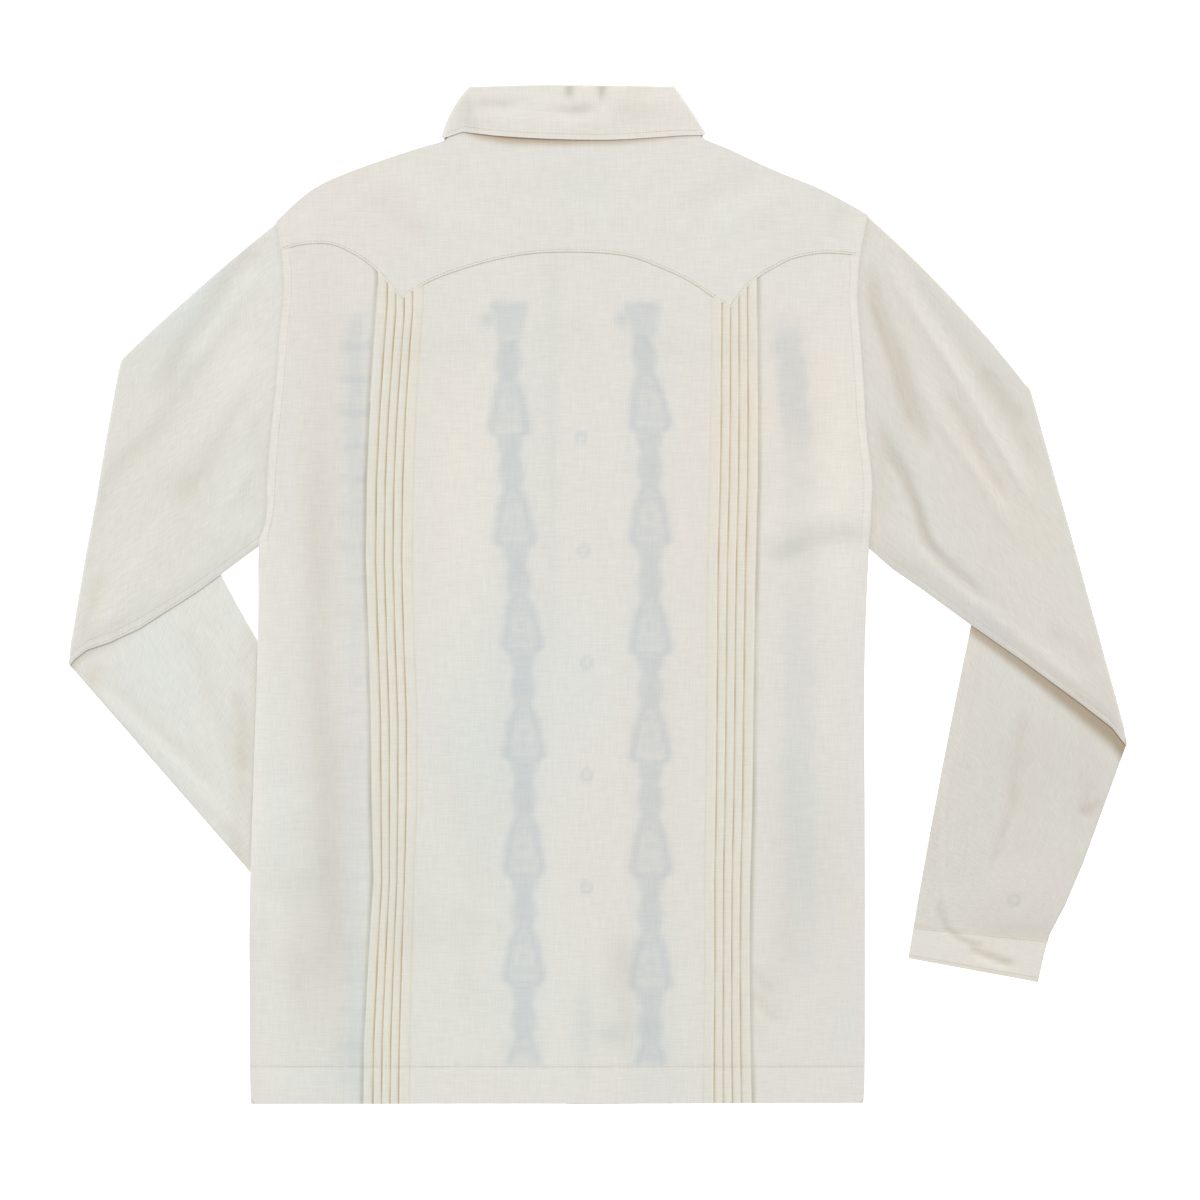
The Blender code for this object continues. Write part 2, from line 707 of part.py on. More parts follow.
def make_collar(collection):
    """Fall and stand meet at the top fold, so its section is a hairpin that goes round the neck."""
    outer_fall, inner_fall = OUTER_REACH, OUTER_REACH - WALL
    inner_stand, outer_stand = GAP / 2 + WALL, GAP / 2
    tip = OUTER_REACH / 2 + GAP / 4
    near_fold, inside_near_fold = 2 * WALL, 3 * WALL
    outside = [
        ("fall", None, outer_fall), ("fall", near_fold, outer_fall), ("fall", 0.0, tip),
        ("stand", near_fold, outer_stand), ("stand", None, outer_stand),
    ]
    inside = [
        ("fall", None, inner_fall), ("fall", inside_near_fold, inner_fall), ("fall", WALL, tip),
        ("stand", inside_near_fold, inner_stand), ("stand", None, inner_stand),
    ]
    stations = collar_stations()
    faces = []
    for outline in (outside, inside):
        rows = []
        for index, station in enumerate(stations):
            side = -1 if index < len(stations) / 2 else 1
            rows.append([collar_point(station, *place, side) for place in outline])
        faces.append(np.array(rows).transpose(1, 0, 2))
    return cloth(collection, "collar", *faces)


# ---------------------------------------------------------------- buttons


def button_mesh(collection, cutters):
    """A four-hole button, lying on its dished face: a turned profile, and four holes cut in it."""
    radius, dish = BUTTON_DIAMETER / 2, BUTTON_DISH
    profile = [
        (0.0, BUTTON_THICKNESS),
        (radius - 0.5, BUTTON_THICKNESS),
        (radius, BUTTON_THICKNESS - 0.6),
        (radius, 0.5),
        (radius - 0.5, 0.0),
        (dish + 0.4, 0.0),
        (dish, BUTTON_DISH_DEPTH),
        (0.0, BUTTON_DISH_DEPTH),
    ]
    outline = bpy.data.meshes.new("button_profile")
    points = [(x * MM, 0.0, z * MM) for x, z in profile]
    outline.from_pydata(points, [(i, i + 1) for i in range(len(points) - 1)], [])
    turned = bpy.data.objects.new("button_turned", outline)
    collection.objects.link(turned)
    screw = turned.modifiers.new("turn", "SCREW")
    screw.steps = screw.render_steps = 16
    screw.use_merge_vertices = True
    screw.merge_threshold = 0.00001
    for across in (-1, 1):
        for down in (-1, 1):
            bpy.ops.mesh.primitive_cylinder_add(
                vertices=5, radius=BUTTON_HOLE * MM, depth=3 * BUTTON_THICKNESS * MM,
                location=(
                    across * BUTTON_HOLE_SPACING * MM, down * BUTTON_HOLE_SPACING * MM, 0.0
                ),
            )
            hole = bpy.context.active_object
            hole.name = f"button_hole_{across}_{down}"
            hole.hide_render = True
            hole.display_type = "WIRE"
            for old in list(hole.users_collection):
                old.objects.unlink(hole)
            cutters.objects.link(hole)
            cut = turned.modifiers.new(hole.name, "BOOLEAN")
            cut.operation = "DIFFERENCE"
            cut.object = hole
    graph = bpy.context.evaluated_depsgraph_get()
    mesh = bpy.data.meshes.new_from_object(turned.evaluated_get(graph))
    mesh.name = "button"
    mesh.shade_smooth()
    mesh.set_sharp_from_angle(angle=math.radians(30))
    mesh.materials.clear()
    mesh.materials.append(finish("button", PEARL, 0.25))
    bpy.data.objects.remove(turned, do_unlink=True)
    return mesh


def place_button(collection, mesh, name, x, y):
    button = bpy.data.objects.new(name, mesh)
    button.location = (x * MM, y * MM, 0.0)
    collection.objects.link(button)


def make_buttons(collection, cutters):
    mesh = button_mesh(collection, cutters)
    for number in range(BUTTON_COUNT):
        y = TOP_BUTTON_Y - number * BUTTON_PITCH
        place_button(collection, mesh, f"button_{number + 1}", centre_front(y), y)
    for side_name in SLEEVES:
        x, y = forearm_point(side_name, SLEEVE_BUTTON_ALONG, SLEEVE_BUTTON_ACROSS)
        place_button(collection, mesh, f"sleeve_button_{side_name}", x, y)


def main():
    shirt, cutters = start_scene()
    make_back(shirt)
    make_yoke(shirt)
    make_fronts(shirt)
    for side_name in SLEEVES:
        make_sleeve(shirt, side_name)
    make_collar(shirt)
    make_buttons(shirt, cutters)


main()
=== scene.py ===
"""Guayabera shirt, buttoned and laid flat on its front: the cloth, stitching and finish of every piece.

Metres and +Z up in Blender, millimetres in the tables below: +X is towards the right sleeve as it
lies, +Y towards the collar. Each cloth piece is a grid whose points are moved on to the form that
the solid pieces give, with its listed creases laid in, and which then gets its thickness.
"""

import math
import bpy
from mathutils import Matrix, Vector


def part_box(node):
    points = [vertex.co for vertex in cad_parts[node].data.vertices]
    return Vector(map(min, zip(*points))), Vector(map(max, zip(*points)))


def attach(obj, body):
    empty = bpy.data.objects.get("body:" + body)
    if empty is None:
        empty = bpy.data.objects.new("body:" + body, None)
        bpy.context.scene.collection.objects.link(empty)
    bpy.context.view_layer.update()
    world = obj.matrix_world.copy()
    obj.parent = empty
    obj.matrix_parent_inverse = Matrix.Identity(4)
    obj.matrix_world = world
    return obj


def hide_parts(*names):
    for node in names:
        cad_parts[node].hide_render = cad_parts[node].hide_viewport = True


bl_info = {
    "name": "Guayabera shirt",
    "version": (1, 0, 0),
    "blender": (4, 5, 0),
    "location": "3D View > Sidebar > Guayabera",
    "description": "Builds a tucked and embroidered guayabera shirt that lies flat on its front",
    "category": "Add Mesh",
}

import bpy
import numpy as np
from bpy.props import FloatProperty, FloatVectorProperty, IntProperty, PointerProperty
from bpy.types import Operator, Panel, PropertyGroup

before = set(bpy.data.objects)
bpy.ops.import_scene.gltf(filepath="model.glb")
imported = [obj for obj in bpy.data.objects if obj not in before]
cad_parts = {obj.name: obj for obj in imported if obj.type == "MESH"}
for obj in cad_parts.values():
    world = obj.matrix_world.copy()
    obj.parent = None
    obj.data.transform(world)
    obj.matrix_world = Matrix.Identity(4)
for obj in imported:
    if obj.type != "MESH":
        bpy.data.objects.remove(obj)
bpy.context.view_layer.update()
BODY = "root"
MM = 0.001

# ---------------------------------------------------------------- outline tables, in millimetres

# Both edges of the body, from the hem up: the side seams, then the armholes.
# left y, left x, right y, right x
SIDE_SEAMS = [
    (-407.4, -277.5, -406.6, 212.2),
    (-378.4, -278.4, -377.6, 213.4),
    (-265.0, -278.8, -265.0, 213.6),
    (-190.0, -276.8, -190.0, 213.5),
    (-120.0, -274.6, -120.0, 213.2),
    (-60.0, -272.6, -60.0, 213.2),
    (-10.0, -271.6, -10.0, 214.6),
]
ARMHOLES = [
    (39.6, -271.2, 38.0, 216.8),
    (66.0, -266.2, 66.0, 218.4),
    (98.0, -264.2, 92.0, 219.0),
    (132.0, -261.4, 130.0, 214.6),
    (166.0, -257.8, 166.0, 212.4),
    (204.0, -255.0, 202.0, 209.8),
    (242.0, -251.6, 236.0, 207.4),
    (274.8, -253.6, 270.8, 209.6),
]
SLEEVE_HEADS = [(298.0, -257.6, 303.6, 216.0)]
LEFT_SHOULDER = [
    (-257.6, 298.0), (-228.8, 323.6), (-194.4, 339.6), (-147.2, 355.6), (-123.0, 362.8), (-119.0, 367.4),
]
RIGHT_SHOULDER = [
    (81.2, 368.4), (85.0, 364.0), (105.6, 355.6), (140.0, 339.6), (179.2, 323.6), (216.0, 303.6),
]
BACK_NECK = [
    (-106.0, 376.0), (-98.0, 374.4), (-60.0, 372.6), (-20.0, 371.8),
    (22.0, 372.6), (60.0, 374.4), (68.0, 376.0),
]
LEFT_NECK = [(-106.0, 376.0), (-98.0, 362.0), (-76.0, 330.0), (-50.0, 304.0), (-22.0, 291.0)]
RIGHT_NECK = [(-16.0, 291.0), (12.0, 304.0), (38.0, 330.0), (60.0, 362.0), (68.0, 376.0)]
YOKE_SCALLOPS = [
    [(-253.6, 274.8), (-236.0, 279.8), (-214.0, 280.0), (-196.0, 272.6), (-180.8, 262.0),
     (-169.6, 250.4), (-157.6, 234.8)],
    [(-157.6, 234.8), (-147.2, 242.8), (-127.2, 253.4), (-92.0, 265.0), (-60.0, 271.6),
     (-33.6, 273.6), (1.6, 273.0), (27.2, 269.6), (48.8, 261.6), (71.2, 251.4),
     (89.6, 239.2), (106.4, 228.8)],
    [(106.4, 228.8), (114.4, 239.8), (125.6, 251.6), (142.4, 262.0), (157.6, 269.0),
     (182.0, 273.0), (209.6, 270.8)],
]

# Both bands of tucks: y, then the innermost stitch line and the outermost edge, left and right.
TUCK_BANDS = [
    (-407.4, -151.0, -187.6, 83.8, 123.0), (-356.4, -150.5, -187.0, 84.4, 121.8),
    (-292.4, -149.1, -183.5, 85.2, 121.2), (-228.4, -147.4, -179.4, 85.0, 121.8),
    (-164.4, -144.8, -181.0, 85.9, 123.5), (-100.4, -144.6, -181.5, 86.6, 124.2),
    (-36.4, -147.0, -183.5, 86.9, 125.0), (27.6, -148.4, -185.6, 87.2, 126.2),
    (91.6, -147.6, -184.9, 88.8, 127.7), (155.6, -145.5, -182.2, 89.8, 128.0),
    (219.6, -142.0, -178.0, 90.4, 127.4), (250.0, -139.8, -176.0, 90.8, 127.0),
]
# Where each tuck starts, as a share of its band's width.
TUCK_STARTS = (0.0, 0.222, 0.41, 0.598, 0.786, 1.0)
TUCK_COUNT = 5
TUCK_PITCH = 7.1  # about
# Across one tuck from its stitch line to its folded edge: share of the pitch, share of its height.
TUCK_SECTION = [(0.0, 0.0), (0.1, 0.16), (0.22, 0.4), (0.5, 0.8), (0.78, 1.0), (0.92, 0.98), (0.985, 0.6)]

CENTRE_FRONT = [(-407.4, -9.0), (-60.0, -9.0), (125.0, -13.6), (215.0, -17.0), (295.0, -19.0)]
PLACKET_HALF = 16.0
UNDERLAP = 14.0
HEM_Y = -378.6
STRIP_TOP = 300.0

# Each sleeve: side, elbow top fold, elbow underarm, cuff top fold, cuff underarm, bow of the
# forearm's edge and bow of the upper arm's top edge.
SLEEVES = {
    "left": (-1, (-381.6, 190.0), (-424.6, -56.4), (-140.8, -237.2), (-237.6, -268.4), -22.0, 2.0),
    "right": (1, (344.8, 167.6), (424.6, -120.4), (248.0, -290.8), (352.0, -310.0), 5.2, 4.6),
}
# How far a sleeve's underarm edge bulges out of the straight line to the elbow, by share of its length,
# and the same for the forearm's underarm edge.
UNDERARM_EDGES = {
    "left": [
        (0.0, 0.0), (0.24, 3.4), (0.34, 4.6), (0.65, 4.9), (0.8, 1.4), (0.9, -3.2), (0.97, -2.0), (1.0, 0.0),
    ],
    "right": [
        (0.0, 0.0), (0.1, 1.6), (0.21, 0.2), (0.4, -1.0), (0.59, -3.4), (0.8, -4.6), (0.93, -4.6),
        (1.0, 0.0),
    ],
}
FOREARM_EDGES = {
    "left": [(0.0, 0.0), (1.0, 0.0)],
    "right": [(0.0, 0.0), (0.5, 0.6), (0.68, -1.2), (0.8, -4.6), (0.9, -3.0), (1.0, 0.0)],
}
CUFF_DEPTH = 27.0  # at the top fold
CUFF_FLARE = 10.0  # more at the underarm
ELBOW_CORNERS = {"left": (15.0, 5.0), "right": (6.0, 8.0)}  # roundness at the top fold and the underarm
SLEEVE_BUTTON_ALONG = 0.7925
SLEEVE_BUTTON_ACROSS = 0.65
ELBOW_INSET = 2.5
ARM_LENGTH = 260.0  # from the armhole to the elbow
ELBOW_FOLD = 8.0  # length of cloth round the elbow's fold

# The collar: turn (0 behind the neck, 180 in front), top fold, free edge, seam at the neckline.
LEFT_COLLAR_TURN = ((-100.0, 406.0), (-123.0, 364.8), (-106.0, 376.0))
RIGHT_COLLAR_TURN = ((58.4, 406.0), (84.2, 367.2), (68.0, 376.0))
LEFT_COLLAR_LEAF = [
    (180, (-22.0, 311.0), (-70.0, 240.0), (-22.0, 291.0)),
    (180, (-44.0, 334.0), (-88.0, 262.0), (-50.0, 304.0)),
    (180, (-68.0, 361.0), (-104.0, 300.0), (-76.0, 330.0)),
    (180, (-90.0, 392.0), (-118.0, 352.0), (-98.0, 362.0)),
]
COLLAR_BACK = [
    (0, (-96.0, 406.2), (-108.0, 369.8), (-98.0, 374.4)),
    (0, (-50.4, 407.4), (-76.0, 366.2), (-60.0, 372.6)),
    (0, (-20.0, 407.4), (-30.0, 363.8), (-20.0, 371.8)),
    (0, (20.0, 407.0), (16.0, 363.6), (22.0, 372.6)),
    (0, (54.0, 406.2), (66.0, 366.8), (60.0, 374.4)),
]
RIGHT_COLLAR_LEAF = [
    (180, (50.0, 392.0), (79.0, 354.0), (60.0, 362.0)),
    (180, (30.0, 361.0), (66.0, 302.0), (38.0, 330.0)),
    (180, (6.0, 334.0), (50.0, 263.0), (12.0, 304.0)),
    (180, (-16.0, 311.0), (32.0, 240.0), (-16.0, 291.0)),
]
COLLAR_AXIS = 2.45  # height of the line that the collar folds round
COLLAR_REACH = 2.45  # from that line to the fall's outer face

# ---------------------------------------------------------------- how high the layers lie

FRONT_LEVEL = 1.1  # top of a front that lies on the surface
BACK_LEVEL = 2.3
YOKE_STEP = 0.48  # of the yoke over the back
PLACKET_TOP = 2.6
UNDERLAP_TOP = 3.15
FOREARM_TOP = 2.1
ARM_OVER_FOREARM = 2.3
BUTTON_RISE = 1.7
HEM_STEP = 0.3  # of the hem's doubled cloth
SURFACE_GAP = 0.05  # under a sleeve that lies on the surface
LEAST_SLEEVE = 0.95  # from a sleeve's lower layer to its upper one
CREASE_CLEARANCE = 0.45  # least height of the back's creases over the fronts

# How far topstitching lies from the edge it holds, and over the cloth.
HEM_STITCH = 1.2
YOKE_STITCH = 2.0
ARMHOLE_STITCH = 6.6
COLLAR_STITCH = 4.6
UNDERARM_STITCHES = (2.6, 8.6)
CUFF_STITCHES = (0.09, 0.9)  # shares of the cuff's depth
STITCH_RISE = 0.12

# ---------------------------------------------------------------- creases

# Soft folds, as route, height, width to the left of the route and width to its right.
# A negative height is a trough.
RIGHT_ARM_FOLDS = [
    ([(216, 250), (222, 224), (230, 200), (238, 174), (248, 144), (256, 120)], -1.3, 3, 5),
    ([(240, 248), (262, 214), (284, 180), (304, 148), (324, 112), (340, 84), (352, 62)], 1.0, 3, 3),
    ([(222, 124), (232, 108), (241, 96), (250, 78), (258, 56), (268, 36), (284, 18)], -0.9, 2.6, 3),
    ([(217, 272), (221, 240), (231, 208), (241, 184), (249, 156), (257, 134), (266, 104)], -2.1, 6.5, 6.5),
    ([(221, 146), (231, 118), (243, 98), (252, 77), (258, 60), (262, 42), (276, 26), (300, 4),
      (320, -16)], -2.2, 5, 5),
    ([(253, 98), (263, 70), (273, 40), (282, 30)], 0.5, 4, 6),
    ([(222, 286), (246, 242), (268, 205), (288, 174), (305, 143), (324, 115), (342, 82),
      (358, 60)], 2.0, 9, 8),
    ([(232, 281), (253, 249), (275, 221), (297, 190), (317, 160), (334, 131), (346, 108),
      (362, 74)], -1.2, 9, 10),
    ([(253, 184), (268, 150), (284, 122), (302, 98), (322, 66), (342, 36)], 1.5, 5.5, 5),
    ([(272, 168), (293, 135), (309, 103), (330, 70)], -1.3, 5, 5),
    ([(305, 184), (324, 156), (343, 132)], -1.1, 6, 7),
    ([(232, 62), (262, 30), (292, 4), (330, -28), (368, -60), (404, -92)], 1.0, 5, 6),
    ([(352, -30), (376, -40), (400, -62)], -0.8, 8, 8),
]
LEFT_ARM_FOLDS = [
    ([(-262, 290), (-294, 254), (-318, 216), (-334, 193), (-350, 164), (-362, 142)], -1.5, 9, 9),
    ([(-268, 262), (-290, 232), (-312, 200), (-330, 176)], 1.0, 7, 8),
    ([(-273, 246), (-294, 216), (-313, 190), (-326, 172), (-340, 150), (-354, 128), (-376, 108),
      (-391, 88), (-400, 62), (-406, 30)], -1.1, 8, 7),
    ([(-266, 200), (-288, 168), (-306, 140), (-330, 112), (-352, 84)], 1.0, 11, 10),
    ([(-272, 168), (-289, 145), (-302, 121), (-313, 100), (-327, 84), (-344, 67)], -1.1, 7, 8),
    ([(-268, 113), (-286, 90), (-300, 62), (-308, 34)], 1.2, 5, 6),
    ([(-340, 60), (-366, 30), (-384, -10), (-404, -38)], 0.9, 10, 9),
    ([(-394, 20), (-404, -12), (-414, -40)], -0.7, 6, 6),
    ([(-271, 150), (-276, 110), (-280, 78), (-284, 58)], -0.7, 5, 7),
]
RIGHT_FOREARM_FOLDS = [
    ([(336, -152), (334, -170), (328, -182), (322, -200), (313, -226)], -0.9, 3, 4),
    ([(342, -88), (338, -120), (332, -150), (330, -178)], -1.0, 5, 5),
    ([(279, -132), (276, -180), (276, -220), (279, -246), (284, -268)], 1.5, 3.5, 4),
    ([(270, -150), (268, -200), (268, -250)], -0.4, 5, 5),
    ([(403, -163), (394, -172), (384, -176)], -0.9, 3, 3),
    ([(398, -150), (390, -168), (388, -182)], -0.6, 3, 4),
    ([(300, -30), (296, -70), (290, -110), (280, -150)], 0.8, 7, 8),
    ([(270, -244), (276, -262), (284, -272), (296, -278), (312, -281)], -1.9, 2.4, 2.4),
    ([(276, -266), (290, -275), (308, -279)], 0.9, 3, 3),
    ([(294, -282), (306, -287), (320, -292), (336, -297)], -1.7, 2.4, 2.4),
    ([(300, -292), (316, -299), (330, -304)], 0.7, 3, 4),
]
LEFT_FOREARM_FOLDS = [
    ([(-416, -66), (-380, -98), (-340, -136), (-300, -178), (-282, -200)], 0.8, 6, 5),
    ([(-406, -58), (-366, -96), (-326, -134), (-296, -166)], -0.6, 6, 6),
    ([(-300, 6), (-292, -30), (-284, -60)], 0.7, 9, 9),
    ([(-330, -20), (-318, -60), (-300, -110), (-290, -150)], -0.7, 9, 9),
    ([(-290, -74), (-284, -110), (-283, -150)], -1.2, 6, 6),
    ([(-298, -180), (-288, -206), (-282, -224)], -0.8, 6, 6),
]
BODY_FOLDS = [
    ([(-222, 150), (-226, 60), (-224, -60), (-216, -180), (-212, -290), (-206, -360)], -0.9, 12, 12),
    ([(-246, 120), (-250, 0), (-246, -140), (-240, -280)], 0.7, 14, 14),
    ([(-208, -100), (-214, -200), (-204, -300)], -0.5, 8, 8),
    ([(124, -298), (132, -312), (142, -318)], -0.9, 4, 4),
    ([(125, -318), (134, -334), (146, -344)], -1.0, 4, 4),
    ([(125, -332), (135, -350), (140, -366)], 0.7, 4, 4),
    ([(128, 26), (146, 30), (166, 40), (190, 46), (214, 50)], -0.9, 8, 8),
    ([(130, 44), (160, 60), (196, 66)], 0.6, 10, 10),
    ([(150, -120), (146, -220), (152, -320)], -0.6, 14, 14),
    ([(184, -60), (186, -180), (180, -300)], 0.5, 14, 14),
    ([(20, -270), (24, -330), (16, -372)], -0.8, 9, 8),
    ([(-40, -100), (-42, -220), (-38, -330)], 0.4, 12, 12),
    ([(60, 200), (66, 60), (62, -80)], 0.4, 12, 12),
    ([(-110, 180), (-112, 20), (-116, -160)], 0.5, 14, 14),
    ([(-96, -200), (-104, -290), (-98, -350)], -0.4, 12, 12),
]
YOKE_FOLDS = [
    ([(-236, 306), (-236, 290), (-240, 272)], 0.6, 6, 6),
    ([(-176, 344), (-150, 320), (-120, 300), (-80, 290)], 0.6, 14, 12),
    ([(-190, 322), (-160, 300), (-130, 280)], -0.5, 10, 10),
    ([(150, 328), (120, 306), (90, 290)], 0.6, 12, 12),
    ([(130, 342), (96, 322), (60, 312)], -0.5, 10, 10),
    ([(196, 310), (190, 294), (188, 280)], -0.5, 7, 7),
]

# Soft differences of tone in the cloth, some of them painted shade in soft troughs and folds: x, y, half
# width, half height, red, green and blue taken off.
BODY_TONES_AND_SHADE = [
    (-222, 20, 16, 200, 0.037, 0.045, 0.062),
    (-218, -250, 20, 130, 0.06, 0.065, 0.07),
    (-200, -366, 14, 26, 0.06, 0.05, 0.04),
    (-256, -120, 16, 260, 0.015, 0.01, 0.005),
    (-36, 240, 9, 60, 0.035, 0.02, 0.012),
    (-36, 90, 5, 150, 0.045, 0.03, 0.022),
    (-12, -345, 7, 36, 0.08, 0.065, 0.05),
    (10, -352, 10, 10, 0.09, 0.075, 0.06),
    (14, -300, 10, 30, 0.05, 0.055, 0.06),
    (30, -355, 18, 24, 0.035, 0.02, 0.01),
    (204, 48, 30, 12, 0.075, 0.07, 0.065),
    (156, 36, 16, 10, 0.085, 0.065, 0.055),
    (140, -320, 12, 30, 0.04, 0.045, 0.05),
    (176, -220, 26, 70, 0.065, 0.054, 0.053),
    (196, -340, 20, 40, 0.02, 0.012, 0.0),
    (-100, -330, 60, 50, 0.03, 0.015, 0.012),
    (-90, -150, 40, 150, 0.035, 0.015, 0.01),
    (-150, -260, 18, 60, 0.03, 0.02, 0.015),
    (76, 60, 14, 140, 0.0, 0.01, 0.02),
    (-106, 80, 34, 110, -0.06, -0.03, 0.0),
    (176, 110, 60, 110, -0.04, -0.02, 0.0),
    (196, 80, 16, 110, -0.045, -0.04, -0.03),
    (-100, -330, 110, 110, -0.03, -0.05, -0.05),
    (-40, -90, 90, 120, 0.0, -0.02, -0.035),
    (-264, -200, 16, 220, -0.04, -0.05, -0.05),
    (-236, -386, 34, 20, -0.02, -0.04, -0.05),
    (-190, -330, 9, 90, 0.02, -0.01, -0.02),
    (-240, -300, 9, 46, 0.04, 0.04, 0.045),
    (-120, 190, 26, 80, 0.0, 0.01, 0.015),
    (-214, 190, 24, 90, 0.0, 0.015, 0.025),
]
YOKE_TONES = [
    (-24, 322, 26, 30, 0.04, 0.015, 0.01),
    (0, 330, 12, 34, 0.015, 0.0, 0.0),
    (150, 300, 30, 24, 0.0, 0.005, 0.01),
]

# Tones, painted shade and painted highlights that the pieces' own tint holds, as shares of the cloth's red,
# green and blue.
TROUGH_SHADE = (0.048, 0.056, 0.068)  # painted shade taken off for each millimetre of a crease's depth
# Painted light added on a ridge for each millimetre of its height.
RIDGE_LIGHT = 0.014
TUCK_FACE = (1.012, 1.001, 0.957)
# Painted highlight on a tuck's folded edge.
TUCK_EDGE_HIGHLIGHT = (1.07, 1.075, 1.06)
# Painted shade outside the outermost tuck of each band.
SHADE_BESIDE_TUCKS = (0.70, 0.69, 0.63)
YOKE_SEAM_SHADE = (0.84, 0.80, 0.74)  # painted shade along the yoke's seam
# Painted shadow under the collar's free edge, then how far it reaches and how deep it is.
COLLAR_SHADOW = (0.64, 0.51, 0.38)
COLLAR_SHADE_REACH = [
    (-112, 2.0), (-96, 8.0), (-70, 11.0), (-30, 9.0), (34, 7.0), (74, 3.4), (86, 1.6),
]  # x, mm from the collar's free edge
COLLAR_SHADE_DEPTH = [
    (-112, 0.2), (-98, 0.75), (-70, 0.95), (-30, 0.9), (34, 0.62), (70, 0.4), (86, 0.1),
]  # x, share
# Painted shade on a sleeve beside its armhole seam.
ARMHOLE_SHADE = (0.93, 0.92, 0.90)
UNDERARM_SHADOW = (0.62, 0.53, 0.43)  # painted shadow of the upper arm's underarm edge, on the forearm
BODY_EDGE_SHADE = (0.95, 0.935, 0.91)  # painted shade beside the body's edge, on the left forearm
SLEEVE_TONES = {"left": (0.99, 1.005, 1.0), "right": (0.952, 0.945, 0.930)}
LEFT_FOREARM_TONE = (1.022, 1.034, 1.045)
CUFF_TONE = (1.065, 1.065, 1.06)
# Painted shade along the cuff's seam.
CUFF_SEAM_SHADE = (0.90, 0.88, 0.86)
CUFF_EDGE_TONE = (0.96, 0.95, 0.94)
COLLAR_TONE = (1.025, 1.015, 1.0)


# ---------------------------------------------------------------- settings


class ClothSettings(PropertyGroup):
    colour: FloatVectorProperty(
        name="Cloth", description="Ivory of the cotton and linen cloth",
        default=(0.806, 0.783, 0.727), subtype="COLOR", size=3, min=0, max=1,
    )
    fold_shade: FloatVectorProperty(
        name="Fold shade", description="Share of light left in the slit beside a tuck",
        default=(0.70, 0.585, 0.45), subtype="COLOR", size=3, min=0, max=1,
    )
    show_through: FloatVectorProperty(
        name="Show-through", description="Share of light left where the embroidery lies behind the back",
        default=(0.80, 0.85, 0.905), subtype="COLOR", size=3, min=0, max=1,
    )
    embroidery: FloatVectorProperty(
        name="Embroidery", description="Slate blue of the embroidery thread",
        default=(0.20, 0.27, 0.36), subtype="COLOR", size=3, min=0, max=1,
    )
    sewing_thread: FloatVectorProperty(
        name="Sewing thread", description="Colour of the seams' thread",
        default=(0.70, 0.66, 0.56), subtype="COLOR", size=3, min=0, max=1,
    )
    button: FloatVectorProperty(
        name="Button", description="Smoky pearl of the buttons",
        default=(0.50, 0.53, 0.55), subtype="COLOR", size=3, min=0, max=1,
    )
    thread_pitch: FloatProperty(
        name="Thread pitch", description="From one thread of the weave to the next",
        default=0.00062, unit="LENGTH", min=0.0001,
    )
    slub_length: FloatProperty(
        name="Slub length", description="Length of the thicker stretches of thread",
        default=0.016, unit="LENGTH", min=0.001,
    )
    roughness: FloatProperty(
        name="Roughness", description="Roughness of the cloth", default=0.88, subtype="FACTOR",
        min=0, max=1,
    )


class SewingSettings(PropertyGroup):
    thickness: FloatProperty(
        name="Cloth thickness", description="Thickness of one layer", default=0.00045,
        unit="LENGTH", min=0.0001,
    )
    tuck_height: FloatProperty(
        name="Tuck height", description="Height of a tuck's folded edge", default=0.0008,
        unit="LENGTH", min=0.0,
    )
    stitch_length: FloatProperty(
        name="Stitch length", description="Length of one stitch", default=0.0021, unit="LENGTH",
        min=0.0005,
    )
    stitch_gap: FloatProperty(
        name="Stitch gap", description="From one stitch to the next", default=0.0007,
        unit="LENGTH", min=0.0,
    )
    stitch_width: FloatProperty(
        name="Stitch width", description="Width of the sewing thread", default=0.00042,
        unit="LENGTH", min=0.0001,
    )
    panel_rows: IntProperty(
        name="Panel rows", description="Rows of faces up a body panel", default=230, min=20,
    )


class StageSettings(PropertyGroup):
    view_width: FloatProperty(
        name="View width", description="Width that the camera sees on the surface", default=0.96,
        unit="LENGTH", min=0.1,
    )
    camera_height: FloatProperty(
        name="Camera height", description="Height of the camera", default=4.0, unit="LENGTH", min=0.5,
    )
    key_power: FloatProperty(
        name="Key light", description="Power of the softbox", default=770.0, unit="POWER", min=0,
    )
    fill_power: FloatProperty(
        name="Fill light", description="Power of the second softbox", default=116.0, unit="POWER", min=0,
    )
    world_strength: FloatProperty(
        name="Surroundings", description="Strength of the white surroundings", default=0.48, min=0,
    )


# ---------------------------------------------------------------- small sums


def along(table, value):
    """The second column of the table where the first has this value, straight between rows."""
    return np.interp(value, [row[0] for row in table], [row[1] for row in table])


def mix(a, b, share):
    return a + (b - a) * share


def ease(distance, reach):
    """1 up to distance 0, falling softly to 0 at reach."""
    t = np.clip(1.0 - np.asarray(distance, float) / reach, 0.0, 1.0)
    return t * t * (3.0 - 2.0 * t)


def rise(value, start, end):
    """0 below start, climbing softly to 1 at end."""
    t = np.clip((np.asarray(value, float) - start) / (end - start), 0.0, 1.0)
    return t * t * (3.0 - 2.0 * t)


def blot(x, y, middle_x, middle_y, half_width, half_height):
    """1 in the middle of a soft oval, fading out past its halves."""
    return np.exp(-(((x - middle_x) / half_width) ** 2) - ((y - middle_y) / half_height) ** 2)


def centre_front(y):
    return along(CENTRE_FRONT, y)


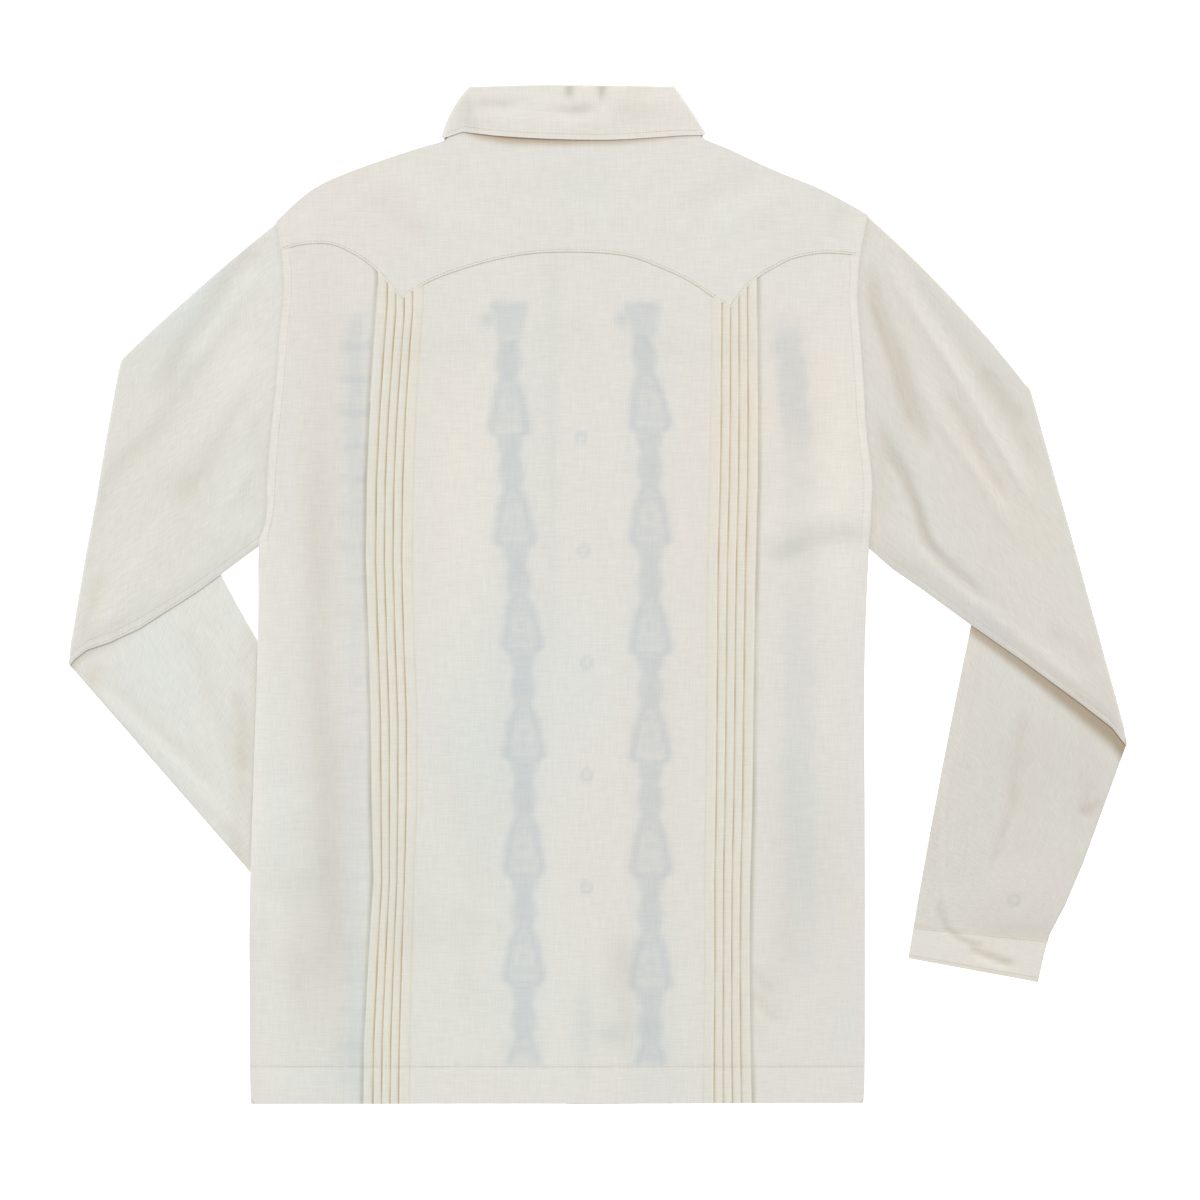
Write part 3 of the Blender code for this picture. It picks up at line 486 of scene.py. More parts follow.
def rounded(points, steps):
    """A smooth line through the points, with this many straight pieces between two of them."""
    points = [tuple(map(float, p)) for p in points]
    padded = [points[0]] + points + [points[-1]]
    line = [points[0]]
    for before, start, end, after in zip(padded, padded[1:], padded[2:], padded[3:]):
        for i in range(1, steps + 1):
            t = i / steps
            place = []
            for a, b, c, d in zip(before, start, end, after):
                bend = (2 * a - 5 * b + 4 * c - d) * t * t + (3 * b - a - 3 * c + d) * t ** 3
                place.append(0.5 * (2 * b + (c - a) * t + bend))
            line.append(tuple(place))
    return line


def fold(x, y, route, height, left_width, right_width):
    """Height of a soft fold along a route, fading out at both its ends."""
    line = np.array(rounded(route, 3))
    steps = np.hypot(*(line[1:] - line[:-1]).T)
    total = steps.sum()
    nearest = np.full(np.shape(x), 1e9)
    share = np.zeros(np.shape(x))
    width = np.full(np.shape(x), float(left_width))
    done = 0.0
    for (ax, ay), (bx, by), length in zip(line[:-1], line[1:], steps):
        dx, dy = bx - ax, by - ay
        t = np.clip(((x - ax) * dx + (y - ay) * dy) / length ** 2, 0, 1)
        distance = np.hypot(x - ax - t * dx, y - ay - t * dy)
        closer = distance < nearest
        nearest = np.where(closer, distance, nearest)
        share = np.where(closer, (done + t * length) / total, share)
        on_left = dx * (y - ay) - dy * (x - ax) > 0
        width = np.where(closer, np.where(on_left, left_width, right_width), width)
        done += length
    swell = rise(share, 0.0, 0.2) * rise(1.0 - share, 0.0, 0.2)
    return height * swell * np.exp(-((nearest / width) ** 2))


def folds(x, y, table):
    return sum(fold(x, y, *row) for row in table)


def draped_folds(x, y):
    """Creases of the back and of the yoke that lies on it."""
    return folds(x, y, BODY_FOLDS + YOKE_FOLDS)


def crease_shade_and_light(height):
    """Painted shade and light in creases, as the share of light left: less in a trough, a little more on a
    ridge.
    """
    trough, ridge = np.clip(-height, 0, 3)[..., None], np.clip(height, 0, 3)[..., None]
    return 1.0 - trough * np.array(TROUGH_SHADE) + ridge * RIDGE_LIGHT


def shaded(colour, depth):
    """Share of light left where a shade of this colour falls, as deep as given: 1 is full."""
    return mix(1.0, np.array(colour), depth[..., None])


def tones(x, y, table):
    """Share of light left by the soft blots of a table, which hold tones of the cloth and painted shade, as
    red, green and blue.
    """
    shade = np.ones(np.shape(x) + (3,))
    for middle_x, middle_y, half_width, half_height, *taken in table:
        spot = blot(x, y, middle_x, middle_y, half_width, half_height)
        shade *= 1.0 - spot[..., None] * np.array(taken)
    return shade


def outside_quad(corners, x, y):
    """How far x, y is outside these corners, which go round anticlockwise. Negative inside."""
    furthest = np.full(np.shape(x), -1e9)
    for (ax, ay), (bx, by) in zip(corners, corners[1:] + corners[:1]):
        length = math.hypot(bx - ax, by - ay)
        edge = ((x - ax) * (by - ay) - (y - ay) * (bx - ax)) / length
        furthest = np.maximum(furthest, edge)
    return furthest


# ---------------------------------------------------------------- how the layers lie on each other


def forearm_corners(side_name):
    side, elbow_top, elbow_under, cuff_top, cuff_under, *_ = SLEEVES[side_name]
    corners = [elbow_top, elbow_under, cuff_under, cuff_top]
    return corners if side < 0 else corners[::-1]


def forearm_point(side_name, share_along, share_across):
    _, elbow_top, elbow_under, cuff_top, cuff_under, *_ = SLEEVES[side_name]
    elbow = mix(np.array(elbow_top), np.array(elbow_under), share_across)
    cuff = mix(np.array(cuff_top), np.array(cuff_under), share_across)
    return mix(elbow, cuff, share_along)


def button_rise(side_name, x, y, flat):
    """How much a sleeve's button raises the cloth on it."""
    place = forearm_point(side_name, SLEEVE_BUTTON_ALONG, SLEEVE_BUTTON_ACROSS)
    return BUTTON_RISE * ease(np.hypot(x - place[0], y - place[1]) - flat, 32.0)


def over_collar(x, y, flat):
    outside = np.maximum(np.abs(x + 20.0) - 112.0, 236.0 - y)
    return ease(outside - flat, 28.0)


def over_strip(x, y, flat, slope):
    return ease(np.abs(x - centre_front(y)) - flat, slope) * ease(y - STRIP_TOP, 30.0)


def front_top(x, y):
    """Top of a front, which rises over the collar's leaf, the buttoned strip and the left forearm."""
    outside = outside_quad(forearm_corners("left"), x, y)
    forearm = (FOREARM_TOP - 0.3) * ease(outside - 5.0, 36.0) + button_rise("left", x, y, 14.0)
    return FRONT_LEVEL + np.maximum(forearm, 1.2 * over_collar(x, y, 16.0))


def back_rise(x, y):
    outside = outside_quad(forearm_corners("left"), x, y)
    forearm = (FOREARM_TOP - 0.2) * ease(outside - 8.0, 44.0) + button_rise("left", x, y, 20.0)
    strip = 1.6 * over_strip(x, y, 15.0, 52.0)
    collar = 1.2 * over_collar(x, y, 24.0)
    return np.cbrt(forearm ** 3 + strip ** 3 + collar ** 3)


def seam_raise(x, y, left_x, right_x):
    """The doubled cloth along the armhole."""
    near = np.minimum(x - left_x, right_x - x)
    return 0.35 * ease(np.abs(near - 3.4) - 2.6, 1.6)


# ---------------------------------------------------------------- the embroidery's chart

MOTIF_PITCH = 87.85  # of the chart below, which is drawn out a little where the bells lie further apart
# Height of each bell's base, and its number from the hem.
LEFT_BASES = [(-401, 0), (-313, 1), (-227, 2), (-134, 3), (-47.6, 4), (37, 5), (125.2, 6), (213, 7)]
RIGHT_BASES = [(-405, 0), (-318, 1), (-227, 2), (-135.6, 3), (-50, 4), (37, 5), (129.2, 6), (217, 7)]
# Middle of each band: y, x.
LEFT_MOTIFS = [
    (-378.0, -59.2), (-116.0, -59.2), (-28.0, -60.8), (44.0, -66.4), (136.0, -71.2), (240.0, -72.0),
]
RIGHT_MOTIFS = [(-378.0, 42.0), (144.0, 41.6), (188.0, 37.2), (240.0, 34.0)]
LEFT_VINE = [(-378.0, -194.0), (240.0, -194.4)]
RIGHT_VINE = [(-330.0, 161.0), (60.0, 160.0), (150.0, 158.0), (190.0, 153.0), (240.0, 150.0)]
# How strongly each outer band shows through the back: y, share.
LEFT_VINE_STRENGTH = [(-400, 0.55), (-300, 0.5), (-200, 0.32), (0, 0.4), (100, 0.75), (160, 1.0), (220, 0.9)]
RIGHT_VINE_STRENGTH = [
    (-330, 0.0), (-300, 0.22), (-210, 0.30), (-130, 0.42), (-20, 0.40), (20, 0.25), (110, 0.42),
    (140, 0.95), (200, 0.9), (228, 0.0),
]
CAP_BASE = 214.0
CAP_TOP = 234.0
# Half width of the motif by its height over the bell's base.
BELL_OUTLINE = [
    (0.0, 11.0), (2.5, 15.2), (5.5, 17.4), (10.0, 17.2), (18.0, 15.8), (28.0, 13.8), (37.0, 11.6),
    (42.0, 9.8), (46.0, 7.4), (49.5, 6.6), (53.0, 8.6), (60.0, 9.8), (67.0, 8.9), (72.0, 6.6),
    (75.5, 6.4), (78.5, 8.6), (83.0, 9.6), (87.85, 9.6),
]


def line_of(distance, half):
    """1 on a line this far either side of distance 0, with soft edges."""
    return ease(np.abs(distance) - half, 2.2)


def bell_motif(u, d):
    """Darkness of one bell with its foot, bead and stem, u across and d up from the bell's base."""
    half = along(BELL_OUTLINE, d)
    inside = ease(np.abs(u) - half + 2.4, 6.6)
    in_bell = ease(d - 43.0, 5.0)
    border = ease(np.abs(np.abs(u) - half + 3.6) - 1.0, 3.4)
    base = line_of(d - 2.6, 1.6) * ease(np.abs(u) - 11.0, 6.0)
    across, up = np.abs(u), np.abs(d - 24.0)
    ring = np.maximum(
        line_of(across - 5.8, 0.5) * ease(up - 5.6, 2.0), line_of(up - 5.6, 0.5) * ease(across - 5.8, 2.0)
    )
    heart = line_of(u, 1.6) * line_of(d - 24.0, 1.8)
    slot = line_of(d - 6.6, 1.2) * ease(across - 8.0, 3.0)
    shoulder = line_of(d - 39.0 + across * 0.5, 1.6)
    bars = 0.5 + 0.5 * np.cos(2.0 * np.pi * d / 3.4)
    lace = 0.5 + 0.5 * np.cos(2.0 * np.pi * (u + 0.4 * d) / 4.6)
    filling = 0.50 + 0.10 * bars + 0.06 * lace - 0.24 * slot - 0.16 * ring
    lines = np.maximum.reduce([0.8 * border, 0.72 * base, 0.72 * heart, 0.74 * shoulder])
    bell = np.maximum(filling, lines)
    middle = ease(np.abs(u) - 3.0, 7.0)
    stem = 0.62 + 0.14 * bars * middle + 0.12 * middle
    return inside * mix(stem, bell, in_bell)


def cap_motif(u, d):
    """The flower over the topmost bell, with one petal further out."""
    lobe = blot(u, d, -16.0, 219.5, 6.0, 6.0)
    cup = ease(np.abs(u - 1.0) - along([(CAP_BASE - 8, 5.0), (CAP_BASE, 7.0), (CAP_TOP, 12.0)], d), 8.0)
    cup = cup * ease(np.abs(d - (CAP_BASE + CAP_TOP - 8) / 2) - 10.0, 8.0)
    rim = line_of(d - CAP_TOP + 4.0, 1.6)
    return np.clip(np.maximum(cup * (0.64 + 0.12 * rim), 0.75 * lobe), 0, 1)


def motif_column(x, y, centres, bases):
    """Darkness of one inner band: bells down to the hem, and a cap over the topmost."""
    u = x - along(centres, y)
    d = np.mod(along(bases, y), 1.0) * MOTIF_PITCH
    body = bell_motif(u, d) * ease(y - (bases[-2][0] + 77.0), 5.0)
    cap = cap_motif(u, y) * rise(y, CAP_BASE - 14, CAP_BASE - 6)
    return np.maximum(body, cap) * rise(y, HEM_Y, HEM_Y + 6.0)


def inner_bands(x, y):
    left = motif_column(x, y, LEFT_MOTIFS, LEFT_BASES)
    return np.maximum(left, motif_column(x, y, RIGHT_MOTIFS, RIGHT_BASES))


def vine(x, y, centres, half):
    """Darkness of an outer band: a stem with crossbars, and a cup under every other one."""
    u = x - along(centres, y)
    step = np.mod(y, 53.2)
    stem = ease(np.abs(u) - 4.0, 3.0)
    bar = np.maximum(line_of(step - 12.0, 1.6), line_of(step - 38.0, 1.6)) * ease(np.abs(u) - half, 3.0)
    cup = line_of(step - 38.0 - 0.035 * u * u, 1.6) * ease(np.abs(u) - half, 3.0)
    return np.clip(0.55 * stem + 0.6 * np.maximum(bar, cup), 0, 1)


def embroidery(x, y):
    """Darkness of all the embroidery on the fronts."""
    inner = inner_bands(x, y)
    left = vine(x, y, LEFT_VINE, 13.0) * ease(y - 216.0, 14.0) * rise(y, HEM_Y, HEM_Y + 3.0)
    right = vine(x, y, RIGHT_VINE, 13.0) * ease(y - 226.0, 14.0) * rise(y, HEM_Y, HEM_Y + 3.0)
    return np.maximum.reduce([inner, left, right])


def show_through(x, y):
    """How much of the embroidery and buttons shows through the back."""
    inner = inner_bands(x, y)
    left = vine(x, y, LEFT_VINE, 12.0) * ease(y - 214.0, 14.0)
    left_strength = along(LEFT_VINE_STRENGTH, y)
    halo_left = ease(np.abs(x + 192.0) - 4.0, 22.0) * ease(y - 214.0, 20.0) * 0.30
    left = left * left_strength * 0.62 + halo_left * left_strength
    u = x - along(RIGHT_VINE, y)
    right_strength = along(RIGHT_VINE_STRENGTH, y)
    wobble = 2.5 * np.sin(y / 7.5) + 2.0 * np.sin(y / 3.1 + 1.0)
    right = ease(np.abs(u + wobble * 0.6) - 7.0, 9.0) * right_strength * 0.62
    halo_right = ease(np.abs(u) - 4.0, 24.0) * right_strength * 0.20
    buttons = button_rings(x, y)
    inner_halo = 0.10 * (ease(np.abs(x + 62.0) - 14.0, 14.0) + ease(np.abs(x - 41.0) - 14.0, 14.0))
    inner_halo = inner_halo * ease(y - 214.0, 20.0)
    return np.clip(inner + inner_halo + left + right + halo_right + buttons, 0, 1)


def button_ring(x, y, node, strength):
    """A button as it shows through the cloth on it: a ring with a paler middle."""
    low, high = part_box(node)
    distance = np.hypot(x - (low[0] + high[0]) / 2 / MM, y - (low[1] + high[1]) / 2 / MM)
    return strength * (0.75 * ease(np.abs(distance - 4.3) - 0.5, 1.6) + 0.25 * ease(distance - 4.0, 1.5))


def button_rings(x, y):
    """The six front buttons, of which the topmost shows least."""
    return sum(button_ring(x, y, f"button_{number}", 0.3 if number == 1 else 0.62) for number in range(1, 7))


# ---------------------------------------------------------------- making a sheet


def deselect_all():
    if bpy.context.object and bpy.context.object.mode != "OBJECT":
        bpy.ops.object.mode_set(mode="OBJECT")
    bpy.ops.object.select_all(action="DESELECT")


def place_uv_and_tint(mesh, row, column, uv, tint):
    corner = np.empty(len(mesh.loops), int)
    mesh.loops.foreach_get("vertex_index", corner)
    layer = mesh.uv_layers.active
    layer.data.foreach_set("uv", (uv[row[corner], column[corner]] * MM).ravel())
    colours = np.ones((len(mesh.vertices), 4))
    colours[:, :3] = tint[row, column]
    attribute = mesh.color_attributes.new("tint", "FLOAT_COLOR", "POINT")
    attribute.data.foreach_set("color", colours.ravel())


def sheet(name, points, uv, tint, material, tube=False, thickness=None):
    """A grid laid on these points, in rows and columns, closed round if it is a tube, and thickened.

    Its outer face is the one from which rows go up and columns go right.
    """
    rows, columns = points.shape[:2]
    deselect_all()
    bpy.ops.mesh.primitive_grid_add(x_subdivisions=columns - 1, y_subdivisions=rows - 1, size=2.0)
    piece = bpy.context.active_object
    piece.name = name
    mesh = piece.data
    mesh.name = name
    flat = np.empty(len(mesh.vertices) * 3)
    mesh.vertices.foreach_get("co", flat)
    flat = flat.reshape(-1, 3)
    column = np.rint((flat[:, 0] + 1) / 2 * (columns - 1)).astype(int)
    row = np.rint((flat[:, 1] + 1) / 2 * (rows - 1)).astype(int)
    place_uv_and_tint(mesh, row, column, uv, tint)
    mesh.vertices.foreach_set("co", (points[row, column] * MM).ravel())
    mesh.update()
    if tube:
        bpy.ops.object.mode_set(mode="EDIT")
        bpy.ops.mesh.select_all(action="SELECT")
        bpy.ops.mesh.remove_doubles(threshold=0.000005)
        bpy.ops.object.mode_set(mode="OBJECT")
    settings = bpy.context.scene.guayabera_sewing
    wall = piece.modifiers.new("thickness", "SOLIDIFY")
    wall.thickness = settings.thickness if thickness is None else thickness * MM
    wall.offset = -1.0
    bpy.ops.object.modifier_apply(modifier=wall.name)
    bpy.ops.object.shade_smooth_by_angle(angle=math.radians(60))
    mesh.materials.clear()
    mesh.materials.append(material)
    return piece


def hand_over(piece, slot, *nodes):
    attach(piece, BODY)
    if nodes:
        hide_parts(*nodes)
    return piece


def stitched(name, lines):
    """Every stitch of these lines as one piece: a stitch is a small sphere drawn out along its line."""
    settings = bpy.context.scene.guayabera_sewing
    length = settings.stitch_length / MM
    gap = settings.stitch_gap / MM
    width = settings.stitch_width / MM
    deselect_all()
    bpy.ops.mesh.primitive_uv_sphere_add(segments=6, ring_count=4, radius=0.5)
    piece = bpy.context.active_object
    piece.name = name
    mesh = piece.data
    mesh.name = name
    shape = np.array([vertex.co[:] for vertex in mesh.vertices])
    placed = []
    for line in lines:
        line = np.asarray(line, float)
        steps = np.linalg.norm(line[1:] - line[:-1], axis=1)
        travel = np.concatenate([[0], np.cumsum(steps)])
        for number in range(int(travel[-1] // (length + gap))):
            start = number * (length + gap) + gap / 2
            first, last = [
                np.array([np.interp(at, travel, line[:, i]) for i in range(3)])
                for at in (start, start + length)
            ]
            reach = np.linalg.norm(last - first)
            if reach < length * 0.5:
                continue
            ahead = (last - first) / reach
            aside = np.cross((0, 0, 1), ahead)
            aside = aside / np.linalg.norm(aside)
            up = np.cross(ahead, aside)
            stitch = shape[:, 2:3] * ahead * reach
            stitch = stitch + shape[:, 0:1] * aside * width + shape[:, 1:2] * up * width
            placed.append(stitch + (first + last) / 2)
    copies = piece.modifiers.new("stitches", "ARRAY")
    copies.count = len(placed)
    bpy.ops.object.modifier_apply(modifier=copies.name)
    mesh.vertices.foreach_set("co", (np.concatenate(placed) * MM).ravel())
    mesh.update()
    bpy.ops.object.shade_smooth()
    mesh.materials.clear()
    mesh.materials.append(sewing_thread_material())
    return hand_over(piece, "cloth")


# ---------------------------------------------------------------- materials


def group_socket(tree, name, kind, way, default=None):
    socket = tree.interface.new_socket(name=name, in_out=way, socket_type=kind)
    if default is not None:
        socket.default_value = default


def linked_math(tree, operation, first, second, third=None):
    node = tree.nodes.new("ShaderNodeMath")
    node.operation = operation
    for place, value in enumerate((first, second, third)):
        if value is None:
            continue
        if isinstance(value, (int, float)):
            node.inputs[place].default_value = value
        else:
            tree.links.new(value, node.inputs[place])
    return node.outputs[0]


def thread_noise(tree, vector, scale, detail, offset):
    """Noise drawn out along the threads."""
    mapping = tree.nodes.new("ShaderNodeMapping")
    mapping.inputs["Scale"].default_value = scale
    mapping.inputs["Location"].default_value = offset
    tree.links.new(vector, mapping.inputs["Vector"])
    noise = tree.nodes.new("ShaderNodeTexNoise")
    noise.inputs["Scale"].default_value = 1.0
    noise.inputs["Detail"].default_value = detail
    noise.inputs["Roughness"].default_value = 0.6
    tree.links.new(mapping.outputs["Vector"], noise.inputs["Vector"])
    return linked_math(tree, "SUBTRACT", noise.outputs["Fac"], 0.5)


def weave_group():
    """Plain weave with slubs: a brightness, a height and a slow drift of tone."""
    found = bpy.data.node_groups.get("Slubbed plain weave")
    if found:
        return found
    settings = bpy.context.scene.guayabera_cloth
    tree = bpy.data.node_groups.new("Slubbed plain weave", "ShaderNodeTree")
    group_socket(tree, "Vector", "NodeSocketVector", "INPUT")
    group_socket(tree, "Slub contrast", "NodeSocketFloat", "INPUT", 0.2)
    group_socket(tree, "Drift", "NodeSocketFloat", "INPUT", 0.05)
    for name in ("Brightness", "Height", "Warmth"):
        group_socket(tree, name, "NodeSocketFloat", "OUTPUT")
    start = tree.nodes.new("NodeGroupInput")
    end = tree.nodes.new("NodeGroupOutput")
    vector = start.outputs["Vector"]
    pitch, slub = settings.thread_pitch, settings.slub_length
    fine = 0.62 / pitch
    long = 1.0 / slub
    warp = thread_noise(tree, vector, (fine, long, 1.0), 1.0, (0.0, 0.0, 0.0))
    weft = thread_noise(tree, vector, (long, fine, 1.0), 1.0, (7.3, 2.1, 3.0))
    coarse_warp = thread_noise(tree, vector, (fine * 0.28, long * 0.35, 1.0), 1.0, (3.7, 9.2, 1.0))
    coarse_weft = thread_noise(tree, vector, (long * 0.45, fine * 0.32, 1.0), 1.0, (1.9, 5.4, 6.0))
    fine_sum = linked_math(tree, "ADD", warp, weft)
    coarse_sum = linked_math(tree, "ADD", coarse_warp, coarse_weft)
    both = linked_math(tree, "MULTIPLY_ADD", coarse_sum, 0.3, fine_sum)
    bright = linked_math(tree, "MULTIPLY_ADD", both, start.outputs["Slub contrast"], 1.0)
    drift = thread_noise(tree, vector, (9.0, 6.0, 1.0), 3.0, (4.0, 4.0, 4.0))
    bright = linked_math(tree, "MULTIPLY_ADD", drift, start.outputs["Drift"], bright)
    warmth = thread_noise(tree, vector, (6.5, 4.0, 1.0), 2.0, (11.0, 3.0, 8.0))
    waves = []
    for direction in ("X", "Y"):
        wave = tree.nodes.new("ShaderNodeTexWave")
        wave.wave_type = "BANDS"
        wave.bands_direction = direction
        wave.inputs["Scale"].default_value = math.pi / 10.0 / pitch
        wave.inputs["Distortion"].default_value = 0.6
        wave.inputs["Detail"].default_value = 0.0
        tree.links.new(vector, wave.inputs["Vector"])
        waves.append(wave.outputs["Fac"])
    threads = linked_math(tree, "ADD", waves[0], waves[1])
    height = linked_math(tree, "MULTIPLY_ADD", threads, 0.35, both)
    for name, value in (("Brightness", bright), ("Height", height), ("Warmth", warmth)):
        tree.links.new(value, end.inputs[name])
    return tree


def new_material(name):
    """A material with its Principled shader, made once."""
    material = bpy.data.materials.new(name)
    material.use_nodes = True
    return material, material.node_tree, material.node_tree.nodes["Principled BSDF"]


def colour_between(tree, first, second, factor):
    """A node that mixes two colours by the factor."""
    between = tree.nodes.new("ShaderNodeMix")
    between.data_type = "RGBA"
    between.inputs["A"].default_value = (*first, 1.0)
    between.inputs["B"].default_value = (*second, 1.0)
    tree.links.new(factor, between.inputs["Factor"])
    return between.outputs["Result"]


def object_noise(tree, scale, detail=2.0, distortion=0.0):
    """Noise on the piece's own coordinates."""
    coordinates = tree.nodes.new("ShaderNodeTexCoord")
    noise = tree.nodes.new("ShaderNodeTexNoise")
    noise.inputs["Scale"].default_value = scale
    noise.inputs["Detail"].default_value = detail
    noise.inputs["Distortion"].default_value = distortion
    tree.links.new(coordinates.outputs["Object"], noise.inputs["Vector"])
    return noise.outputs["Fac"]


def weave_nodes(tree, contrast, drift):
    coordinates = tree.nodes.new("ShaderNodeUVMap")
    weave = tree.nodes.new("ShaderNodeGroup")
    weave.node_tree = weave_group()
    weave.inputs["Slub contrast"].default_value = contrast
    weave.inputs["Drift"].default_value = drift
    tree.links.new(coordinates.outputs["UV"], weave.inputs["Vector"])
    return weave


def cloth_material(name, contrast=0.132, drift=0.035):
    """Ivory cotton and linen: the weave's brightness on the cloth's colour, times the piece's tint, which
    holds tones and painted shade and highlights.
    """
    found = bpy.data.materials.get(name)
    if found:
        return found
    settings = bpy.context.scene.guayabera_cloth
    material, tree, shader = new_material(name)
    weave = weave_nodes(tree, contrast, drift)
    tint = tree.nodes.new("ShaderNodeAttribute")
    tint.attribute_name = "tint"
    base = np.array(settings.colour)
    warm = linked_math(tree, "MULTIPLY_ADD", weave.outputs["Warmth"], 2.4, 0.5)
    ivory = colour_between(tree, base * (0.982, 1.004, 1.012), base * (1.018, 0.996, 0.985), warm)
    tinted = tree.nodes.new("ShaderNodeVectorMath")
    tinted.operation = "MULTIPLY"
    tree.links.new(ivory, tinted.inputs[0])
    tree.links.new(tint.outputs["Color"], tinted.inputs[1])
    woven = tree.nodes.new("ShaderNodeVectorMath")
    woven.operation = "SCALE"
    tree.links.new(tinted.outputs["Vector"], woven.inputs[0])
    tree.links.new(weave.outputs["Brightness"], woven.inputs["Scale"])
    tree.links.new(woven.outputs["Vector"], shader.inputs["Base Color"])
    bump = tree.nodes.new("ShaderNodeBump")
    bump.inputs["Strength"].default_value = 0.15
    bump.inputs["Distance"].default_value = 0.00022
    tree.links.new(weave.outputs["Height"], bump.inputs["Height"])
    tree.links.new(bump.outputs["Normal"], shader.inputs["Normal"])
    shader.inputs["Roughness"].default_value = settings.roughness
    shader.inputs["Specular IOR Level"].default_value = 0.18
    shader.inputs["Sheen Weight"].default_value = 0.12
    shader.inputs["Sheen Roughness"].default_value = 0.5
    return material


def sewing_thread_material():
    found = bpy.data.materials.get("Sewing thread")
    if found:
        return found
    settings = bpy.context.scene.guayabera_cloth
    material, tree, shader = new_material("Sewing thread")
    base = np.array(settings.sewing_thread)
    twisted = colour_between(tree, base * 0.86, np.minimum(base * 1.1, 1.0), object_noise(tree, 900.0))
    tree.links.new(twisted, shader.inputs["Base Color"])
    shader.inputs["Roughness"].default_value = 0.6
    return material


def button_material():
    found = bpy.data.materials.get("Smoky pearl")
    if found:
        return found
    settings = bpy.context.scene.guayabera_cloth
    material, tree, shader = new_material("Smoky pearl")
    ramp = tree.nodes.new("ShaderNodeValToRGB")
    base = np.array(settings.button)
    for stop, position, strength in zip(ramp.color_ramp.elements, (0.3, 0.7), (0.78, 1.2)):
        stop.position = position
        stop.color = (*(base * strength), 1.0)
    tree.links.new(object_noise(tree, 160.0, 3.0, 1.6), ramp.inputs["Fac"])
    tree.links.new(ramp.outputs["Color"], shader.inputs["Base Color"])
    shader.inputs["Roughness"].default_value = 0.22
    shader.inputs["Coat Weight"].default_value = 0.35
    return material


# ---------------------------------------------------------------- body panels


def fine_rows(table, count):
    """Rows of left y, left x, right y, right x up a panel, evenly spread on smooth edges."""
    line = np.array(rounded(table, 24))
    height = line[:, 0]
    wanted = np.linspace(height[0], height[-1], count)
    return np.array([[np.interp(y, height, line[:, i]) for i in range(4)] for y in wanted])


def yoke_seam():
    line = []
    for scallop in YOKE_SCALLOPS:
        line += rounded(scallop, 6)[0 if not line else 1:]
    return line


def tuck_bands(y):
    """x of the left band's innermost line and outermost edge, then of the right band's."""
    ys = [row[0] for row in TUCK_BANDS]
    return [np.interp(y, ys, [row[1 + i] for row in TUCK_BANDS]) for i in range(4)]


def body_knots(row):
    """x of a row's side edges, tuck bands and motif bands."""
    y = (row[0] + row[2]) / 2
    left, left_edge, right, right_edge = tuck_bands(y)
    return [
        row[1], left_edge, left, along(LEFT_MOTIFS, y) - 21, along(LEFT_MOTIFS, y) + 21,
        along(RIGHT_MOTIFS, y) - 21, along(RIGHT_MOTIFS, y) + 21, right, right_edge, row[3],
    ]


def evenly(start, end, spacing):
    """Places from start up to but not at end, no further apart than the spacing."""
    steps = max(1, math.ceil((end - start) / spacing))
    return [mix(start, end, i / steps) for i in range(steps)]


def beside(edge, way):
    """Places beside a band of tucks, close together where its shade falls."""
    return [edge + way * gap for gap in (0.3, 1.1, 2.0, 3.1, 4.5, 6.4, 9.0, 12.0, 15.5, 19.5, 24.0)]


def back_columns(knots):
    """x places at the yoke seam, each with its tuck's number, share of the pitch and height."""
    left_out, left_in, right_in, right_out = knots[1], knots[2], knots[7], knots[8]
    left, right = [], []
    for number in range(TUCK_COUNT):
        for share, height in TUCK_SECTION:
            across = mix(TUCK_STARTS[number], TUCK_STARTS[number + 1], share)
            left.append((mix(left_in, left_out + 0.3, across), number, share, height))
            right.append((mix(right_in, right_out - 0.3, across), number, share, height))
    places = []
    for start, end, spacing in ((knots[0], knots[0] + 9, 1.8), (knots[0] + 9, left_out - 26, 4.4)):
        places += evenly(start, end, spacing)
    places += beside(left_out, -1)[::-1]
    middle = []
    for start, end, spacing in (
        (left_in + 1, knots[3], 4.6), (knots[3], knots[4], 2.1), (knots[4], knots[5], 2.2),
        (knots[5], knots[6], 2.1), (knots[6], right_in - 1, 4.6), (right_in - 1, right_in, 1.0),
    ):
        middle += evenly(start, end, spacing)
    last = beside(right_out, 1)
    for start, end, spacing in ((right_out + 28, knots[9] - 9, 4.2), (knots[9] - 9, knots[9], 1.8)):
        last += evenly(start, end, spacing)
    last.append(knots[9])
    plain = [[(x, -1, 0.0, 0.0) for x in part] for part in (places, middle, last)]
    return np.array(plain[0] + left[::-1] + plain[1] + right + plain[2])


def panel_points(columns, rows, knots_at, top_line, bend_from):
    """Plan of a panel: each row spreads the columns between its knots, and bends to the top line."""
    top_knots = knots_at(rows[-1])
    first = int(np.argmin(np.abs(rows[:, 0] - bend_from)))
    low_left, low_right = rows[first][0], rows[first][2]
    share = (columns - columns[0]) / (columns[-1] - columns[0])
    top = along(top_line, columns)
    straight_top = mix(rows[-1][0], rows[-1][2], share)
    low = mix(low_left, low_right, share)
    plan = np.empty((len(rows), len(columns), 2))
    for index, row in enumerate(rows):
        y = mix(row[0], row[2], share)
        if index > first:
            y = y + (top - straight_top) * ((y - low) / (straight_top - low)) ** 1.5
        plan[index, :, 0] = np.interp(columns, top_knots, knots_at(row))
        plan[index, :, 1] = y
    return plan


